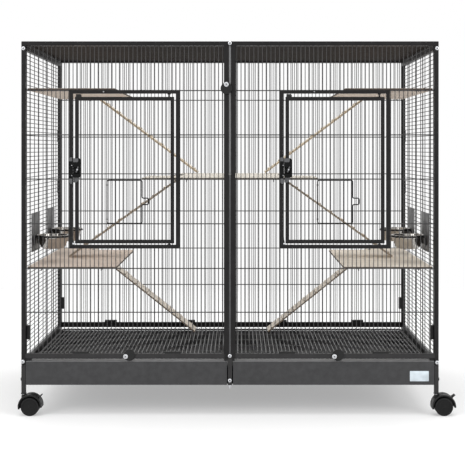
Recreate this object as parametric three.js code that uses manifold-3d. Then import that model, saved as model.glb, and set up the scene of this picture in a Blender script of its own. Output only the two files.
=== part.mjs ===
// Ferret cage: two mesh bays side by side on a wheeled base, with framed doors,
// pull-out trays, wooden shelves and ramps, and steel bowls.
// Millimetres, +X right, +Y to the back, +Z up. The origin is the middle of the
// footprint on the floor.
import * as THREE from "three";
import { mergeVertices } from "three/addons/utils/BufferGeometryUtils.js";
import Module from "manifold-3d";

const wasm = await Module();
wasm.setup();

// ---------------------------------------------------------------- dimensions
const WIDTH = 1150; // over the outer tubes
const DEPTH = 675; // over the front and rear panels
const HEIGHT = 1030; // floor to top rail
const TUBE = 12; // outer square tube
const BAR = 10; // inner uprights, door surrounds and door leaves
const WALL = 1.2; // steel tube wall
const GAP = 0.3; // running and fitting gap between touching pieces
const PITCH = 580; // from the left bay to the same place in the right bay

const XO = WIDTH / 2;
const XI = XO - TUBE; // inner face of the outer tubes
const YO = DEPTH / 2;
const YI = YO - TUBE; // inner face of the front and rear panels
const MID = 5; // half the gap between the bays' inner uprights

const LEG_BOTTOM = 60.2;
const LEG_TOP = 137.7;
const PANEL_BOTTOM = 138;
const RAIL_TOP = [HEIGHT - TUBE, HEIGHT]; // top rail of the front and rear
const FRONT_RAIL = [156.4, 169.6];
const REAR_RAIL = [141, 156];

const WIRE = 3.5; // one stand-in wire for four real ones
const WIRE_STEP = 47.2; // four times the real pitch of 11.8
const LEVELS = [282.8, 403.7, 526.9, 650.2, 772.2, 894.5]; // level wires

// door surround and door leaf, left bay
const SURROUND = { x0: -443, x1: -139, z0: 459, z1: 896 };
const LEAF = { x0: -427, x1: -154, z0: 473, z1: 877 };
const HINGE_X = -168; // door pivot pins
const HINGE_Y = -YO + BAR / 2;
const PIN_R = 2.5;
const HATCH = { x0: -340.5, x1: -240.5, z0: 525, z1: 652, bar: 3.5 };
const HATCH_Y = [-338.6, -335.1];

// shelves, resting at the level wires
const SHELF = 6;
const SHELF_FRONT = -323;
const MIDDLE_FRONT = -315.5; // clear of the doors' hinge edges as they swing in
const SHELF_BACK = 280;
const NOTCH_Y = 222.5; // front of the cut-outs for the ladders
const UPPER_Z = 895.5;
const MIDDLE_Z = 647.5;
const LOWER_Z = 401.5;

// ladders
const RAMP_T = 6;
const RUNG = 3;
const REAR_RAMP_Y = [225, 318];
const MID_RAMP_Y = [-54, 36];

// trays and floor
const TRAY = { x0: -562.4, x1: -8.4, top: 149.2, bottom: 86, side: 131 };
const FLOOR_Z = [133, 139.5];

// turn buttons
const DISC_R = 16;
const DISC_OFF = 11; // screw to disc centre
const DISC_LEAN = (108 * Math.PI) / 180; // tray buttons stand turned clear

// bowls
const BOWL_X = 511;
const BOWL_Y = [-187.5, 88];
const RING_Z = 480;

// casters
const STEM_X = XO - TUBE / 2;
const STEM_Y = YO - TUBE / 2;
const TRAIL = 19;
const WHEEL_R = 25;

// ------------------------------------------------------------------ helpers
// A closed geometry as a solid.
function solid(geometry) {
  let g = geometry.index ? geometry.toNonIndexed() : geometry.clone();
  const plain = new THREE.BufferGeometry();
  plain.setAttribute("position", g.getAttribute("position"));
  const merged = mergeVertices(plain, 1e-4);
  const make = (tri) =>
    new wasm.Manifold(
      new wasm.Mesh({
        numProp: 3,
        vertProperties: merged.attributes.position.array,
        triVerts: tri,
      }),
    );
  const tri = new Uint32Array(merged.index.array);
  let made = make(tri);
  if (made.volume() < 0) {
    for (let i = 0; i < tri.length; i += 3)
      [tri[i + 1], tri[i + 2]] = [tri[i + 2], tri[i + 1]];
    made = make(tri);
  }
  return made;
}

// A box between two corners, given as x0, x1, y0, y1, z0, z1 in any order. The
// corners are set to whole thousandths, so that flush faces are truly flush.
const whole = (v) => Math.round(v * 1000) / 1000;
function box(xa, xb, ya, yb, za, zb) {
  const low = [Math.min(xa, xb), Math.min(ya, yb), Math.min(za, zb)].map(whole);
  const high = [Math.max(xa, xb), Math.max(ya, yb), Math.max(za, zb)].map(whole);
  const g = new THREE.BoxGeometry(2, 2, 2);
  const p = g.attributes.position;
  for (let i = 0; i < p.count; i++)
    p.setXYZ(
      i,
      ...[p.getX(i), p.getY(i), p.getZ(i)].map((v, k) => (v < 0 ? low[k] : high[k])),
    );
  return solid(g);
}

// A round bar between two points, with one flat facet turned to -Z or -Y.
function rod(r, from, to, sides = 12, turn = Math.PI / sides) {
  const a = new THREE.Vector3(...from);
  const b = new THREE.Vector3(...to);
  const g = new THREE.CylinderGeometry(r, r, a.distanceTo(b), sides);
  g.rotateY(turn);
  g.applyQuaternion(
    new THREE.Quaternion().setFromUnitVectors(
      new THREE.Vector3(0, 1, 0),
      b.clone().sub(a).normalize(),
    ),
  );
  g.translate(...a.add(b).multiplyScalar(0.5).toArray());
  return solid(g);
}

// A turned shape about a vertical axis, from [radius, height] pairs.
function turned(profile, sides, x, y) {
  const g = new THREE.LatheGeometry(
    profile.map(([r, z]) => new THREE.Vector2(r, z)),
    sides,
  );
  g.rotateX(Math.PI / 2);
  g.translate(x, y, 0);
  return solid(g);
}

// An outline in X and Z, carried along Y.
function slabY(points, y0, y1) {
  const s = new THREE.Shape(points.map(([x, z]) => new THREE.Vector2(x, z)));
  const g = new THREE.ExtrudeGeometry(s, {
    depth: y1 - y0,
    bevelEnabled: false,
  });
  g.rotateX(Math.PI / 2);
  g.translate(0, y1, 0);
  return solid(g);
}

// An outline in X and Y, carried up Z.
function slabZ(points, z0, z1) {
  const s = new THREE.Shape(points.map(([x, y]) => new THREE.Vector2(x, y)));
  const g = new THREE.ExtrudeGeometry(s, {
    depth: z1 - z0,
    bevelEnabled: false,
  });
  g.translate(0, 0, z0);
  return solid(g);
}

function join(list) {
  let s = list[0];
  for (const next of list.slice(1)) s = s.add(next);
  return s;
}

function cut(s, list) {
  for (const tool of list) s = s.subtract(tool);
  return s;
}

// Every edge of a square-cornered outline, listed anticlockwise, moved to its
// left by d: inwards, and outwards for a hole listed clockwise.
function inset(points, d) {
  const n = points.length;
  return points.map(([x, y], i) => {
    const [ax, ay] = points[(i + n - 1) % n];
    const [bx, by] = points[(i + 1) % n];
    const side = (dx, dy) => [-Math.sign(dy) * d, Math.sign(dx) * d];
    const [ux, uy] = side(x - ax, y - ay);
    const [vx, vy] = side(bx - x, by - y);
    return [x + ux + vx, y + uy + vy];
  });
}

// An outline with a hole, carried along Y, Z or X.
function plate(outline, hole, along, d0, d1) {
  const to2 = (pts) => pts.map(([a, b]) => new THREE.Vector2(whole(a), whole(b)));
  const shape = new THREE.Shape(to2(outline));
  if (hole) shape.holes.push(new THREE.Path(to2(hole)));
  const g = new THREE.ExtrudeGeometry(shape, { depth: 1, bevelEnabled: false });
  const p = g.attributes.position;
  const [low, high] = [whole(Math.min(d0, d1)), whole(Math.max(d0, d1))];
  for (let i = 0; i < p.count; i++) {
    const [a, b] = [p.getX(i), p.getY(i)];
    const c = p.getZ(i) < 0.5 ? low : high;
    if (along === "y") p.setXYZ(i, a, c, b);
    else if (along === "x") p.setXYZ(i, c, a, b);
    else p.setXYZ(i, a, b, c);
  }
  return solid(g);
}

// Square tubes welded into one frame and hollow all the way round. The outline
// is anticlockwise and the hole clockwise. An end at the level openAt is open.
function tubeFrame(outline, hole, along, d0, d1, openAt) {
  const bore = inset(outline, WALL).map(([a, b]) =>
    openAt !== undefined && Math.abs(b - openAt - WALL) < 1e-6 ? [a, openAt - 2] : [a, b],
  );
  const [low, high] = [Math.min(d0, d1), Math.max(d0, d1)];
  return plate(outline, hole, along, low, high).subtract(
    plate(bore, inset(hole, WALL), along, low + WALL, high - WALL),
  );
}

// A rectangle as an anticlockwise outline, or as a clockwise hole.
const ccw = (x0, x1, y0, y1) => [
  [x0, y0],
  [x1, y0],
  [x1, y1],
  [x0, y1],
];
const cw = (x0, x1, y0, y1) => ccw(x0, x1, y0, y1).reverse();
const flipX = (points, side) =>
  side < 0 ? points : points.map(([x, y]) => [-x, y]).reverse();

// Even steps between two ends, close to the wanted step.
function steps(from, to, step) {
  const n = Math.round(Math.abs(to - from) / step);
  return Array.from({ length: n - 1 }, (_, i) => from + ((to - from) * (i + 1)) / n);
}

const cage = new THREE.Group();

function add(name, s, look, at = [0, 0], turn = 0) {
  const m = s.getMesh();
  const v = new Float32Array(m.numVert * 3);
  for (let i = 0; i < m.numVert; i++)
    v.set(m.vertProperties.subarray(i * m.numProp, i * m.numProp + 3), i * 3);
  const g = new THREE.BufferGeometry()
    .setAttribute("position", new THREE.BufferAttribute(v, 3))
    .setIndex(new THREE.BufferAttribute(new Uint32Array(m.triVerts), 1))
    .toNonIndexed();
  g.computeVertexNormals();
  const mesh = new THREE.Mesh(
    g,
    new THREE.MeshStandardMaterial({
      color: look[0],
      roughness: look[1],
      metalness: look[2],
    }),
  );
  mesh.name = name;
  mesh.position.set(at[0], at[1], 0);
  mesh.rotation.z = turn;
  cage.add(mesh);
}

// colour, roughness, metalness
const STEEL = [0x302e30, 0.5, 0.4];
const TRAY_STEEL = [0x49494c, 0.55, 0.3];
const GRID = [0x3c3a3c, 0.5, 0.4];
const WOOD = [0xdec8ae, 0.7, 0];
const BLACK = [0x232324, 0.45, 0];
const BRIGHT = [0xc8c9cc, 0.25, 1];
const POLISHED = [0xd5d6d8, 0.15, 1];
const PLATE = [0x55565a, 0.5, 0.2];

const H = WIRE / 2;
const EMBED = 0.6;

// ---------------------------------------------------------- front mesh panels
// The upright wires lie in front of the level ones and 0.3 behind each other.
const FRONT_V = [-YO + 2.6, -YO + 2.6 + WIRE];
const FRONT_L = [-YO + 2.6 + WIRE + GAP, -YO + 2.6 + 2 * WIRE + GAP - 0.6];

function frontPanel(side) {
  const dx = side < 0 ? 0 : PITCH;
  const s = { ...SURROUND, x0: SURROUND.x0 + dx, x1: SURROUND.x1 + dx };
  const [rb, rt] = FRONT_RAIL;
  const frame = tubeFrame(
    flipX(
      [
        [-XO, rb],
        [-MID, rb],
        [-MID, RAIL_TOP[0]],
        [-GAP, RAIL_TOP[0]],
        [-GAP, HEIGHT],
        [-XO, HEIGHT],
      ],
      side,
    ),
    flipX(cw(-XI, -MID - BAR, rt, RAIL_TOP[0]), side),
    "y",
    -YO,
    -YI,
  ).subtract(box(side * 300, side * 304, -YO + 4, -YO + 8, rb - 1, rb + 3));
  const ring = tubeFrame(
    ccw(s.x0, s.x1, s.z0, s.z1),
    cw(s.x0 + BAR, s.x1 - BAR, s.z0 + BAR, s.z1 - BAR),
    "y",
    -YO,
    -YI,
  ).subtract(box(s.x0 + 30, s.x0 + 34, -YO + 3, -YO + 7, s.z0 - 1, s.z0 + 3));
  const wires = [];
  const low = rt - EMBED;
  const high = RAIL_TOP[0] + EMBED;
  const ends = [side * XI, side * (MID + BAR)];
  const [from, to] = [Math.min(...ends), Math.max(...ends)];
  for (const x of steps(from, to, WIRE_STEP)) {
    const inDoor = x + H > s.x0 + 1 && x - H < s.x1 - 1;
    if (!inDoor) wires.push(box(x - H, x + H, ...FRONT_V, low, high));
    else {
      wires.push(box(x - H, x + H, ...FRONT_V, low, s.z0 + EMBED));
      wires.push(box(x - H, x + H, ...FRONT_V, s.z1 - EMBED, high));
    }
  }
  for (const z of LEVELS) {
    if (z < s.z0)
      wires.push(box(from - EMBED, to + EMBED, ...FRONT_L, z - H, z + H));
    else {
      wires.push(box(from - EMBED, s.x0 + EMBED, ...FRONT_L, z - H, z + H));
      wires.push(box(s.x1 - EMBED, to + EMBED, ...FRONT_L, z - H, z + H));
    }
  }
  const px = HINGE_X + dx;
  const pins = [
    rod(PIN_R, [px, HINGE_Y, LEAF.z1 - 7.5], [px, HINGE_Y, s.z1 - BAR + 0.8]),
    rod(PIN_R, [px, HINGE_Y, s.z0 + BAR - 0.8], [px, HINGE_Y, LEAF.z0 + 7.5]),
  ];
  return join([frame, ring, ...wires, ...pins]);
}
add("front_panel_left", frontPanel(-1), STEEL);
add("front_panel_right", frontPanel(1), STEEL);

// ----------------------------------------------------------- rear mesh panels
function rearPanel(side) {
  const [rb, rt] = REAR_RAIL;
  const frame = tubeFrame(
    flipX(
      [
        [-XO, PANEL_BOTTOM],
        [-XI, PANEL_BOTTOM],
        [-XI, rb],
        [-MID, rb],
        [-MID, RAIL_TOP[0]],
        [-GAP, RAIL_TOP[0]],
        [-GAP, HEIGHT],
        [-XO, HEIGHT],
      ],
      side,
    ),
    flipX(cw(-XI, -MID - BAR, rt, RAIL_TOP[0]), side),
    "y",
    YI,
    YO,
    PANEL_BOTTOM,
  );
  const V = [YO - 2.6 - WIRE, YO - 2.6];
  const L = [YO - 2.6 - 2 * WIRE - GAP + 0.6, YO - 2.6 - WIRE - GAP];
  const ends = [side * XI, side * (MID + BAR)];
  const [from, to] = [Math.min(...ends), Math.max(...ends)];
  const wires = [];
  for (const x of steps(from, to, WIRE_STEP))
    wires.push(box(x - H, x + H, ...V, rt - EMBED, RAIL_TOP[0] + EMBED));
  for (const z of LEVELS)
    wires.push(box(from - EMBED, to + EMBED, ...L, z - H, z + H));
  return join([frame, ...wires]);
}
add("rear_panel_left", rearPanel(-1), STEEL);
add("rear_panel_right", rearPanel(1), STEEL);

// ----------------------------------------------------------- side mesh panels
function sidePanel(side) {
  const y = YI - GAP;
  const top = RAIL_TOP[0] - GAP;
  const frame = tubeFrame(
    ccw(-y, y, PANEL_BOTTOM, top),
    cw(-y + TUBE, y - TUBE, PANEL_BOTTOM + TUBE, top - TUBE),
    "x",
    side * XO,
    side * XI,
  ).subtract(
    box(side * (XO - 4), side * (XO - 8), -2, 2, PANEL_BOTTOM - 1, PANEL_BOTTOM + 3),
  );
  const outer = XO - 4;
  const L = [side * outer, side * (outer - WIRE)];
  const V = [side * (outer - WIRE - GAP), side * (outer - 2 * WIRE - GAP + 0.6)];
  const wires = [];
  for (const z of steps(PANEL_BOTTOM + TUBE, top - TUBE, WIRE_STEP))
    wires.push(box(...L, -y + TUBE - EMBED, y - TUBE + EMBED, z - H, z + H));
  for (const at of [-242, -103, 36, 175])
    wires.push(box(...V, at - H, at + H, PANEL_BOTTOM + TUBE - EMBED, top - TUBE + EMBED));
  return join([frame, ...wires]);
}
add("side_panel_left", sidePanel(-1), STEEL);
add("side_panel_right", sidePanel(1), STEEL);

// ------------------------------------------------------------ top mesh panels
function topPanel(side) {
  const y = YI - GAP;
  const Z = [RAIL_TOP[0] + GAP, HEIGHT];
  const [a, b] = [-XO + TUBE, -GAP - TUBE];
  const frame = tubeFrame(
    flipX(ccw(-XO, -GAP, -y, y), side),
    flipX(cw(a, b, -y + TUBE, y - TUBE), side),
    "z",
    ...Z,
  ).subtract(box(side * 4, side * 8, -2, 2, Z[0] - 1, Z[0] + 3));
  const [from, to] = side < 0 ? [a, b] : [-b, -a];
  const wires = [];
  for (const at of steps(-y + TUBE, y - TUBE, WIRE_STEP))
    wires.push(box(from - EMBED, to + EMBED, at - H, at + H, HEIGHT - 2 - WIRE, HEIGHT - 2));
  for (const x of steps(from, to, 132))
    wires.push(box(x - H, x + H, -y + TUBE - EMBED, y - TUBE + EMBED, HEIGHT - 2 - 2 * WIRE - GAP + 0.6, HEIGHT - 2 - WIRE - GAP));
  return join([frame, ...wires]);
}
add("top_panel_left", topPanel(-1), STEEL);
add("top_panel_right", topPanel(1), STEEL);

// ----------------------------------------------------------------- base frame
// Two legs, the skirt plate between them, the runner that the tray slides on
// and the ledge that the floor grille lies on, welded together.
const RUNNER = [84.2, 85.7];
const LEDGE = [131.3, 132.7];
const FOLD = 6.8; // how far the side runners and ledges reach under the tray and the grille

function baseSide(side) {
  const leg = (y0, y1, top) =>
    box(side * XO, side * XI, y0, y1, LEG_BOTTOM, top).subtract(
      box(
        side * (XO - WALL),
        side * (XI + WALL),
        y0 + WALL,
        y1 - WALL,
        LEG_BOTTOM - 1,
        top - WALL,
      ),
    );
  const sheet = [side * (XI + 0.2), side * (XI + 1.1)];
  return join([
    box(...sheet, -YI - 1, YI + 1, RUNNER[0] + 0.7, LEG_TOP - 0.5),
    box(side * (XI + 0.6), side * (XI - FOLD), -YI + 0.5, YI - 0.5, ...RUNNER),
    box(side * (XI + 0.6), side * (XI - FOLD), -YI + 0.5, YI - 0.5, ...LEDGE),
    leg(-YO, -YI, FRONT_RAIL[0] - GAP),
    leg(YI, YO, LEG_TOP),
  ]);
}
add("base_side_left", baseSide(-1), STEEL);
add("base_side_right", baseSide(1), STEEL);

const baseMiddle = join([
  box(-5.8, 5.8, -YO, -YI, RUNNER[0] - 1, FRONT_RAIL[0] - 0.4),
  box(-4.6, 4.6, -YO + 0.2, -YI - 0.2, FRONT_RAIL[0] - 2, FRONT_RAIL[1]),
  box(-5.8, 5.8, YI, YO, RUNNER[0] - 1, REAR_RAIL[0] - 0.4),
  box(-4.6, 4.6, YI + 0.2, YO - 0.2, REAR_RAIL[0] - 2, REAR_RAIL[1]),
  box(-0.75, 0.75, -YI - 1, YI + 1, RUNNER[0] + 0.7, LEDGE[1] - 0.7),
  box(-22, 22, -YI + 0.5, YI - 0.5, ...RUNNER),
  box(-12, 12, -YI + 0.5, YI - 0.5, ...LEDGE),
]);
add("base_middle", baseMiddle, STEEL);

// ----------------------------------------------------------------------- trays
function tray(side) {
  const [x0, x1] = side < 0 ? [TRAY.x0, TRAY.x1] : [-TRAY.x1, -TRAY.x0];
  const t = 1.5;
  const y1 = 322;
  const pan = box(x0 + 0.2, x1 - 0.2, -YO + 0.6, y1, TRAY.bottom, TRAY.side).subtract(
    box(x0 + t, x1 - t, -YO + 1, y1 - t, TRAY.bottom + t, TRAY.side + 1),
  );
  return pan.add(box(x0, x1, -YO, -YO + t, TRAY.bottom - 2.6, TRAY.top));
}
add("tray_left", tray(-1), TRAY_STEEL);
add("tray_right", tray(1), TRAY_STEEL);

// --------------------------------------------------------------- floor grilles
function floorGrille(side) {
  const a = side * 562;
  const b = side * 1.5;
  const x0 = Math.min(a, b);
  const x1 = Math.max(a, b);
  const y = 324.5;
  const [z0, z1] = FLOOR_Z;
  const rim = cut(box(x0, x1, -y, y, z0, z1), [
    box(x0 + 5, x1 - 5, -y + 5, y - 5, z0 - 1, z1 + 1),
  ]);
  const wires = [];
  for (const x of steps(x0 + 5, x1 - 5, WIRE_STEP))
    wires.push(box(x - H, x + H, -y + 4, y - 4, z1 - 0.9 - 2.4, z1 - 0.9));
  for (const at of steps(-y + 5, y - 5, 160))
    wires.push(box(x0 + 4, x1 - 4, at - 2, at + 2, z0 + 0.7, z1 - 3.6));
  return join([rim, ...wires]);
}
add("floor_grille_left", floorGrille(-1), GRID);
add("floor_grille_right", floorGrille(1), GRID);

// ----------------------------------------------------------------------- doors
const LEAF_DEPTH = 9; // a little shallower than the bars of the doorway round it
function door(dx) {
  const L = { ...LEAF, x0: LEAF.x0 + dx, x1: LEAF.x1 + dx };
  const h = { ...HATCH, x0: HATCH.x0 + dx, x1: HATCH.x1 + dx };
  const from = L.x0 + BAR;
  const to = L.x1 - BAR;
  const low = L.z0 + BAR - EMBED;
  const high = L.z1 - BAR + EMBED;
  const [zl, zh] = [LEVELS[2], LEVELS[3]];
  const V = FRONT_V;
  const wires = [];
  for (const x of steps(from, to, 50)) {
    if (x - H > h.x0 + 2 && x + H < h.x1 - 2) {
      // cut short above and below the hatch and welded to the level wires
      const W = [V[0], FRONT_L[0] + 0.4];
      wires.push(box(x - H, x + H, ...W, low, zl + H));
      wires.push(box(x - H, x + H, ...W, zh - H, high));
    } else wires.push(box(x - H, x + H, ...V, low, high));
  }
  for (const z of [zl, zh, LEVELS[4]])
    wires.push(box(from - EMBED, to + EMBED, FRONT_L[0], FRONT_L[1] - 0.5, z - H, z + H));
  const px = HINGE_X + dx;
  const frame = tubeFrame(
    ccw(L.x0, L.x1, L.z0, L.z1),
    cw(from, to, L.z0 + BAR, L.z1 - BAR),
    "y",
    -YO,
    -YO + LEAF_DEPTH,
  );
  return cut(join([frame, ...wires]), [
    rod(PIN_R + 0.4, [px, HINGE_Y, L.z1 - 2.5], [px, HINGE_Y, L.z1 + 2]),
    rod(PIN_R + 0.4, [px, HINGE_Y, L.z0 - 2], [px, HINGE_Y, L.z0 + 2.5]),
  ]);
}
add("door_left", door(0), STEEL);
add("door_right", door(PITCH), STEEL);

// Small hatch of thick wire on the front of each door. Its right side is bent
// out into a loop that is the catch and the finger pull.
function hatch(dx) {
  const h = HATCH;
  const b = h.bar;
  const x0 = h.x0 + dx;
  const x1 = h.x1 + dx;
  const Y = HATCH_Y;
  const list = [
    box(x0, x1, ...Y, h.z0, h.z0 + b),
    box(x0, x1, ...Y, h.z1 - b, h.z1),
    box(x0, x0 + b, ...Y, h.z0, h.z1),
    box(x1 - b, x1, ...Y, h.z0, 582),
    box(x1 - b, x1, ...Y, 596, h.z1),
    box(x1 - b, x1 + 18, ...Y, 578.5, 582),
    box(x1 - b, x1 + 18, ...Y, 596, 599.5),
    box(x1 + 18 - b, x1 + 18, ...Y, 578.5, 599.5),
  ];
  for (const x of [x0 + 34, x0 + 66])
    list.push(box(x - 1.5, x + 1.5, Y[0] + 0.3, Y[1] - 0.3, h.z0 + 1, h.z1 - 1));
  return join(list);
}
add("hatch_left", hatch(0), STEEL);
add("hatch_right", hatch(PITCH), STEEL);

// --------------------------------------------------------------- door latches
// A keeper box on the surround, a latch body on the door, and a slide bolt
// with a thumb knob that shoots 8 mm into the keeper.
const LATCH_Y = [-350, -YO - GAP];
function latchBody(dx) {
  const r = 4;
  const [x0, x1, z0, z1] = [-431 + dx, -409.5 + dx, 640, 708];
  const outline = [
    [x0, z0],
    [x1 - r, z0],
    [x1, z0 + r],
    [x1, z1 - 7],
    [x1 - 7, z1],
    [x0, z1],
  ];
  return cut(slabY(outline, ...LATCH_Y), [
    box(x0 - 1, x1 - 3, -348.6, -341.4, 666.6, 681.4),
    box(x0 + 1.2, x1 - 7.1, -351, -348, 670.4, 677.6),
  ]);
}
function latchBolt(dx) {
  const x = -430.5 + dx;
  return join([
    box(x, x + 14.5, -348.2, -341.8, 667, 681),
    box(x + 10, x + 13.5, -351.8, -348, 671, 677),
  ]);
}
function latchKeeper(dx) {
  const [x0, x1] = [-443 + dx, -432 + dx];
  return cut(box(x0, x1, ...LATCH_Y, 634, 712), [
    box(x0 + 2, x1 + 1, -348.6, -341.4, 666.6, 681.4),
  ]);
}
for (const [name, dx] of [
  ["left", 0],
  ["right", PITCH],
]) {
  add("latch_body_" + name, latchBody(dx), BLACK);
  add("latch_bolt_" + name, latchBolt(dx), PLATE);
  add("latch_keeper_" + name, latchKeeper(dx), STEEL);
}

// --------------------------------------------------------------- turn buttons
// Off-centre discs on a shouldered screw. The tray ones stand turned clear of
// the tray face, and the top one hangs.
const DISC_Y = [-343.2, -YO - 0.6];
function button(x, z, lean) {
  const cx = x + DISC_OFF * Math.sin(lean);
  const cz = z - DISC_OFF * Math.cos(lean);
  return rod(DISC_R, [cx, DISC_Y[0], cz], [cx, DISC_Y[1], cz], 20).subtract(
    rod(3.2, [x, DISC_Y[0] - 1, z], [x, DISC_Y[1] + 1, z], 12),
  );
}
function buttonScrew(x, z) {
  return join([
    rod(2.8, [x, -345, z], [x, -YO - GAP, z], 12),
    rod(6, [x, -346.3, z], [x, DISC_Y[0] - GAP, z], 12),
  ]);
}
const BUTTONS = [
  ["tray_left", -287.2, 162.8, DISC_LEAN],
  ["tray_right", 287.2, 162.8, DISC_LEAN],
  ["top", -10, 911, 0],
];
for (const [name, x, z, lean] of BUTTONS) {
  add("turn_button_" + name, button(x, z, lean), BLACK);
  add("button_screw_" + name, buttonScrew(x, z), BRIGHT);
}

// --------------------------------------------------------------------- shelves
const mirror = (points, side) =>
  side < 0 ? points : points.map(([x, y]) => [-x, y]).reverse();
const sideShelf = (inner, notch) => [
  [-561, SHELF_FRONT],
  [inner, SHELF_FRONT],
  [inner, NOTCH_Y],
  [notch, NOTCH_Y],
  [notch, SHELF_BACK],
  [-561, SHELF_BACK],
];
for (const [name, side] of [
  ["left", -1],
  ["right", 1],
]) {
  add(
    "shelf_upper_" + name,
    slabZ(mirror(sideShelf(-319, -438.5), side), UPPER_Z, UPPER_Z + SHELF),
    WOOD,
  );
  add(
    "shelf_lower_" + name,
    slabZ(mirror(sideShelf(-315, -451.5), side), LOWER_Z, LOWER_Z + SHELF),
    WOOD,
  );
}
const tee = [
  [-245, MIDDLE_FRONT],
  [245, MIDDLE_FRONT],
  [245, -57.5],
  [165, -57.5],
  [165, SHELF_BACK],
  [-165, SHELF_BACK],
  [-165, -57.5],
  [-245, -57.5],
];
add("shelf_middle", slabZ(tee, MIDDLE_Z, MIDDLE_Z + SHELF), WOOD);

// --------------------------------------------------------------------- ladders
// A thin board with rungs across its upper face, hung by its top end. The
// points are the middle of the board at its top and bottom ends.
function ramp(side, top, foot, Y) {
  const [tx, tz] = [side * top[0], top[1]];
  const [fx, fz] = [side * foot[0], foot[1]];
  const len = Math.hypot(fx - tx, fz - tz);
  const u = [(fx - tx) / len, (fz - tz) / len];
  let n = [-u[1], u[0]];
  if (n[1] < 0) n = [-n[0], -n[1]];
  const at = (a, b) => [tx + u[0] * a + n[0] * b, tz + u[1] * a + n[1] * b];
  const t = RAMP_T / 2;
  const pts = [
    at(-1.6, -t + 1.2),
    at(0, -t),
    at(len - 1, -t),
    at(len, -t + 1),
    at(len, t),
  ];
  const rungs = 8;
  for (let i = rungs; i >= 1; i--) {
    const c = (len * (i - 0.2)) / (rungs + 0.2);
    pts.push(at(c + 2.5, t), at(c + 2, t + RUNG), at(c - 2, t + RUNG), at(c - 2.5, t));
  }
  pts.push(at(0, t), at(-1.6, t - 1.2));
  return slabY(pts, ...Y);
}
// distance from a support's top to the board's middle at the foot
const sit = (angle) => (RAMP_T / 2) * Math.cos(angle) + GAP + 0.6;
const RAMPS = {
  upper: [[433, UPPER_Z + SHELF / 2], [109, MIDDLE_Z + SHELF + sit(0.64)], REAR_RAMP_Y],
  middle: [[170.5, MIDDLE_Z - 13.5], [484, LOWER_Z + SHELF + sit(0.62)], MID_RAMP_Y],
  lower: [[446, LOWER_Z + SHELF / 2], [118, FLOOR_Z[1] + sit(0.67)], REAR_RAMP_Y],
};
for (const [name, [top, foot, Y]] of Object.entries(RAMPS))
  for (const [sname, side] of [
    ["left", -1],
    ["right", 1],
  ])
    add("ramp_" + name + "_" + sname, ramp(side, top, foot, Y), WOOD);

// ----------------------------------------------------------------------- bowls
const BOWL = [
  [0, 447.6],
  [32, 447.6],
  [45, 478],
  [45, 485.4],
  [47.6, 485.4],
  [47.6, 486.6],
  [44, 486.6],
  [44, 478.4],
  [31.4, 448.8],
  [0, 448.8],
];
// A plate on the side mesh with two short arms and a ring.
function bowlHolder(side, y) {
  const w = 67;
  const ring = turned(
    [
      [45.8, RING_Z],
      [49.6, RING_Z],
      [49.6, RING_Z + 4],
      [45.8, RING_Z + 4],
      [45.8, RING_Z],
    ],
    20,
    side * BOWL_X,
    y,
  );
  return join([
    box(side * 562, side * 559, y - w, y + w, 442, 551),
    box(side * 559.5, side * (BOWL_X + 36), y - 34, y - 30, RING_Z, RING_Z + 4),
    box(side * 559.5, side * (BOWL_X + 36), y + 30, y + 34, RING_Z, RING_Z + 4),
    ring,
  ]);
}
for (const [sname, side] of [
  ["left", -1],
  ["right", 1],
])
  for (const [i, fname] of ["front", "rear"].entries()) {
    add("bowl_holder_" + fname + "_" + sname, bowlHolder(side, BOWL_Y[i]), PLATE);
    add("bowl_" + fname + "_" + sname, turned(BOWL, 20, side * BOWL_X, BOWL_Y[i]), POLISHED);
  }

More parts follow.
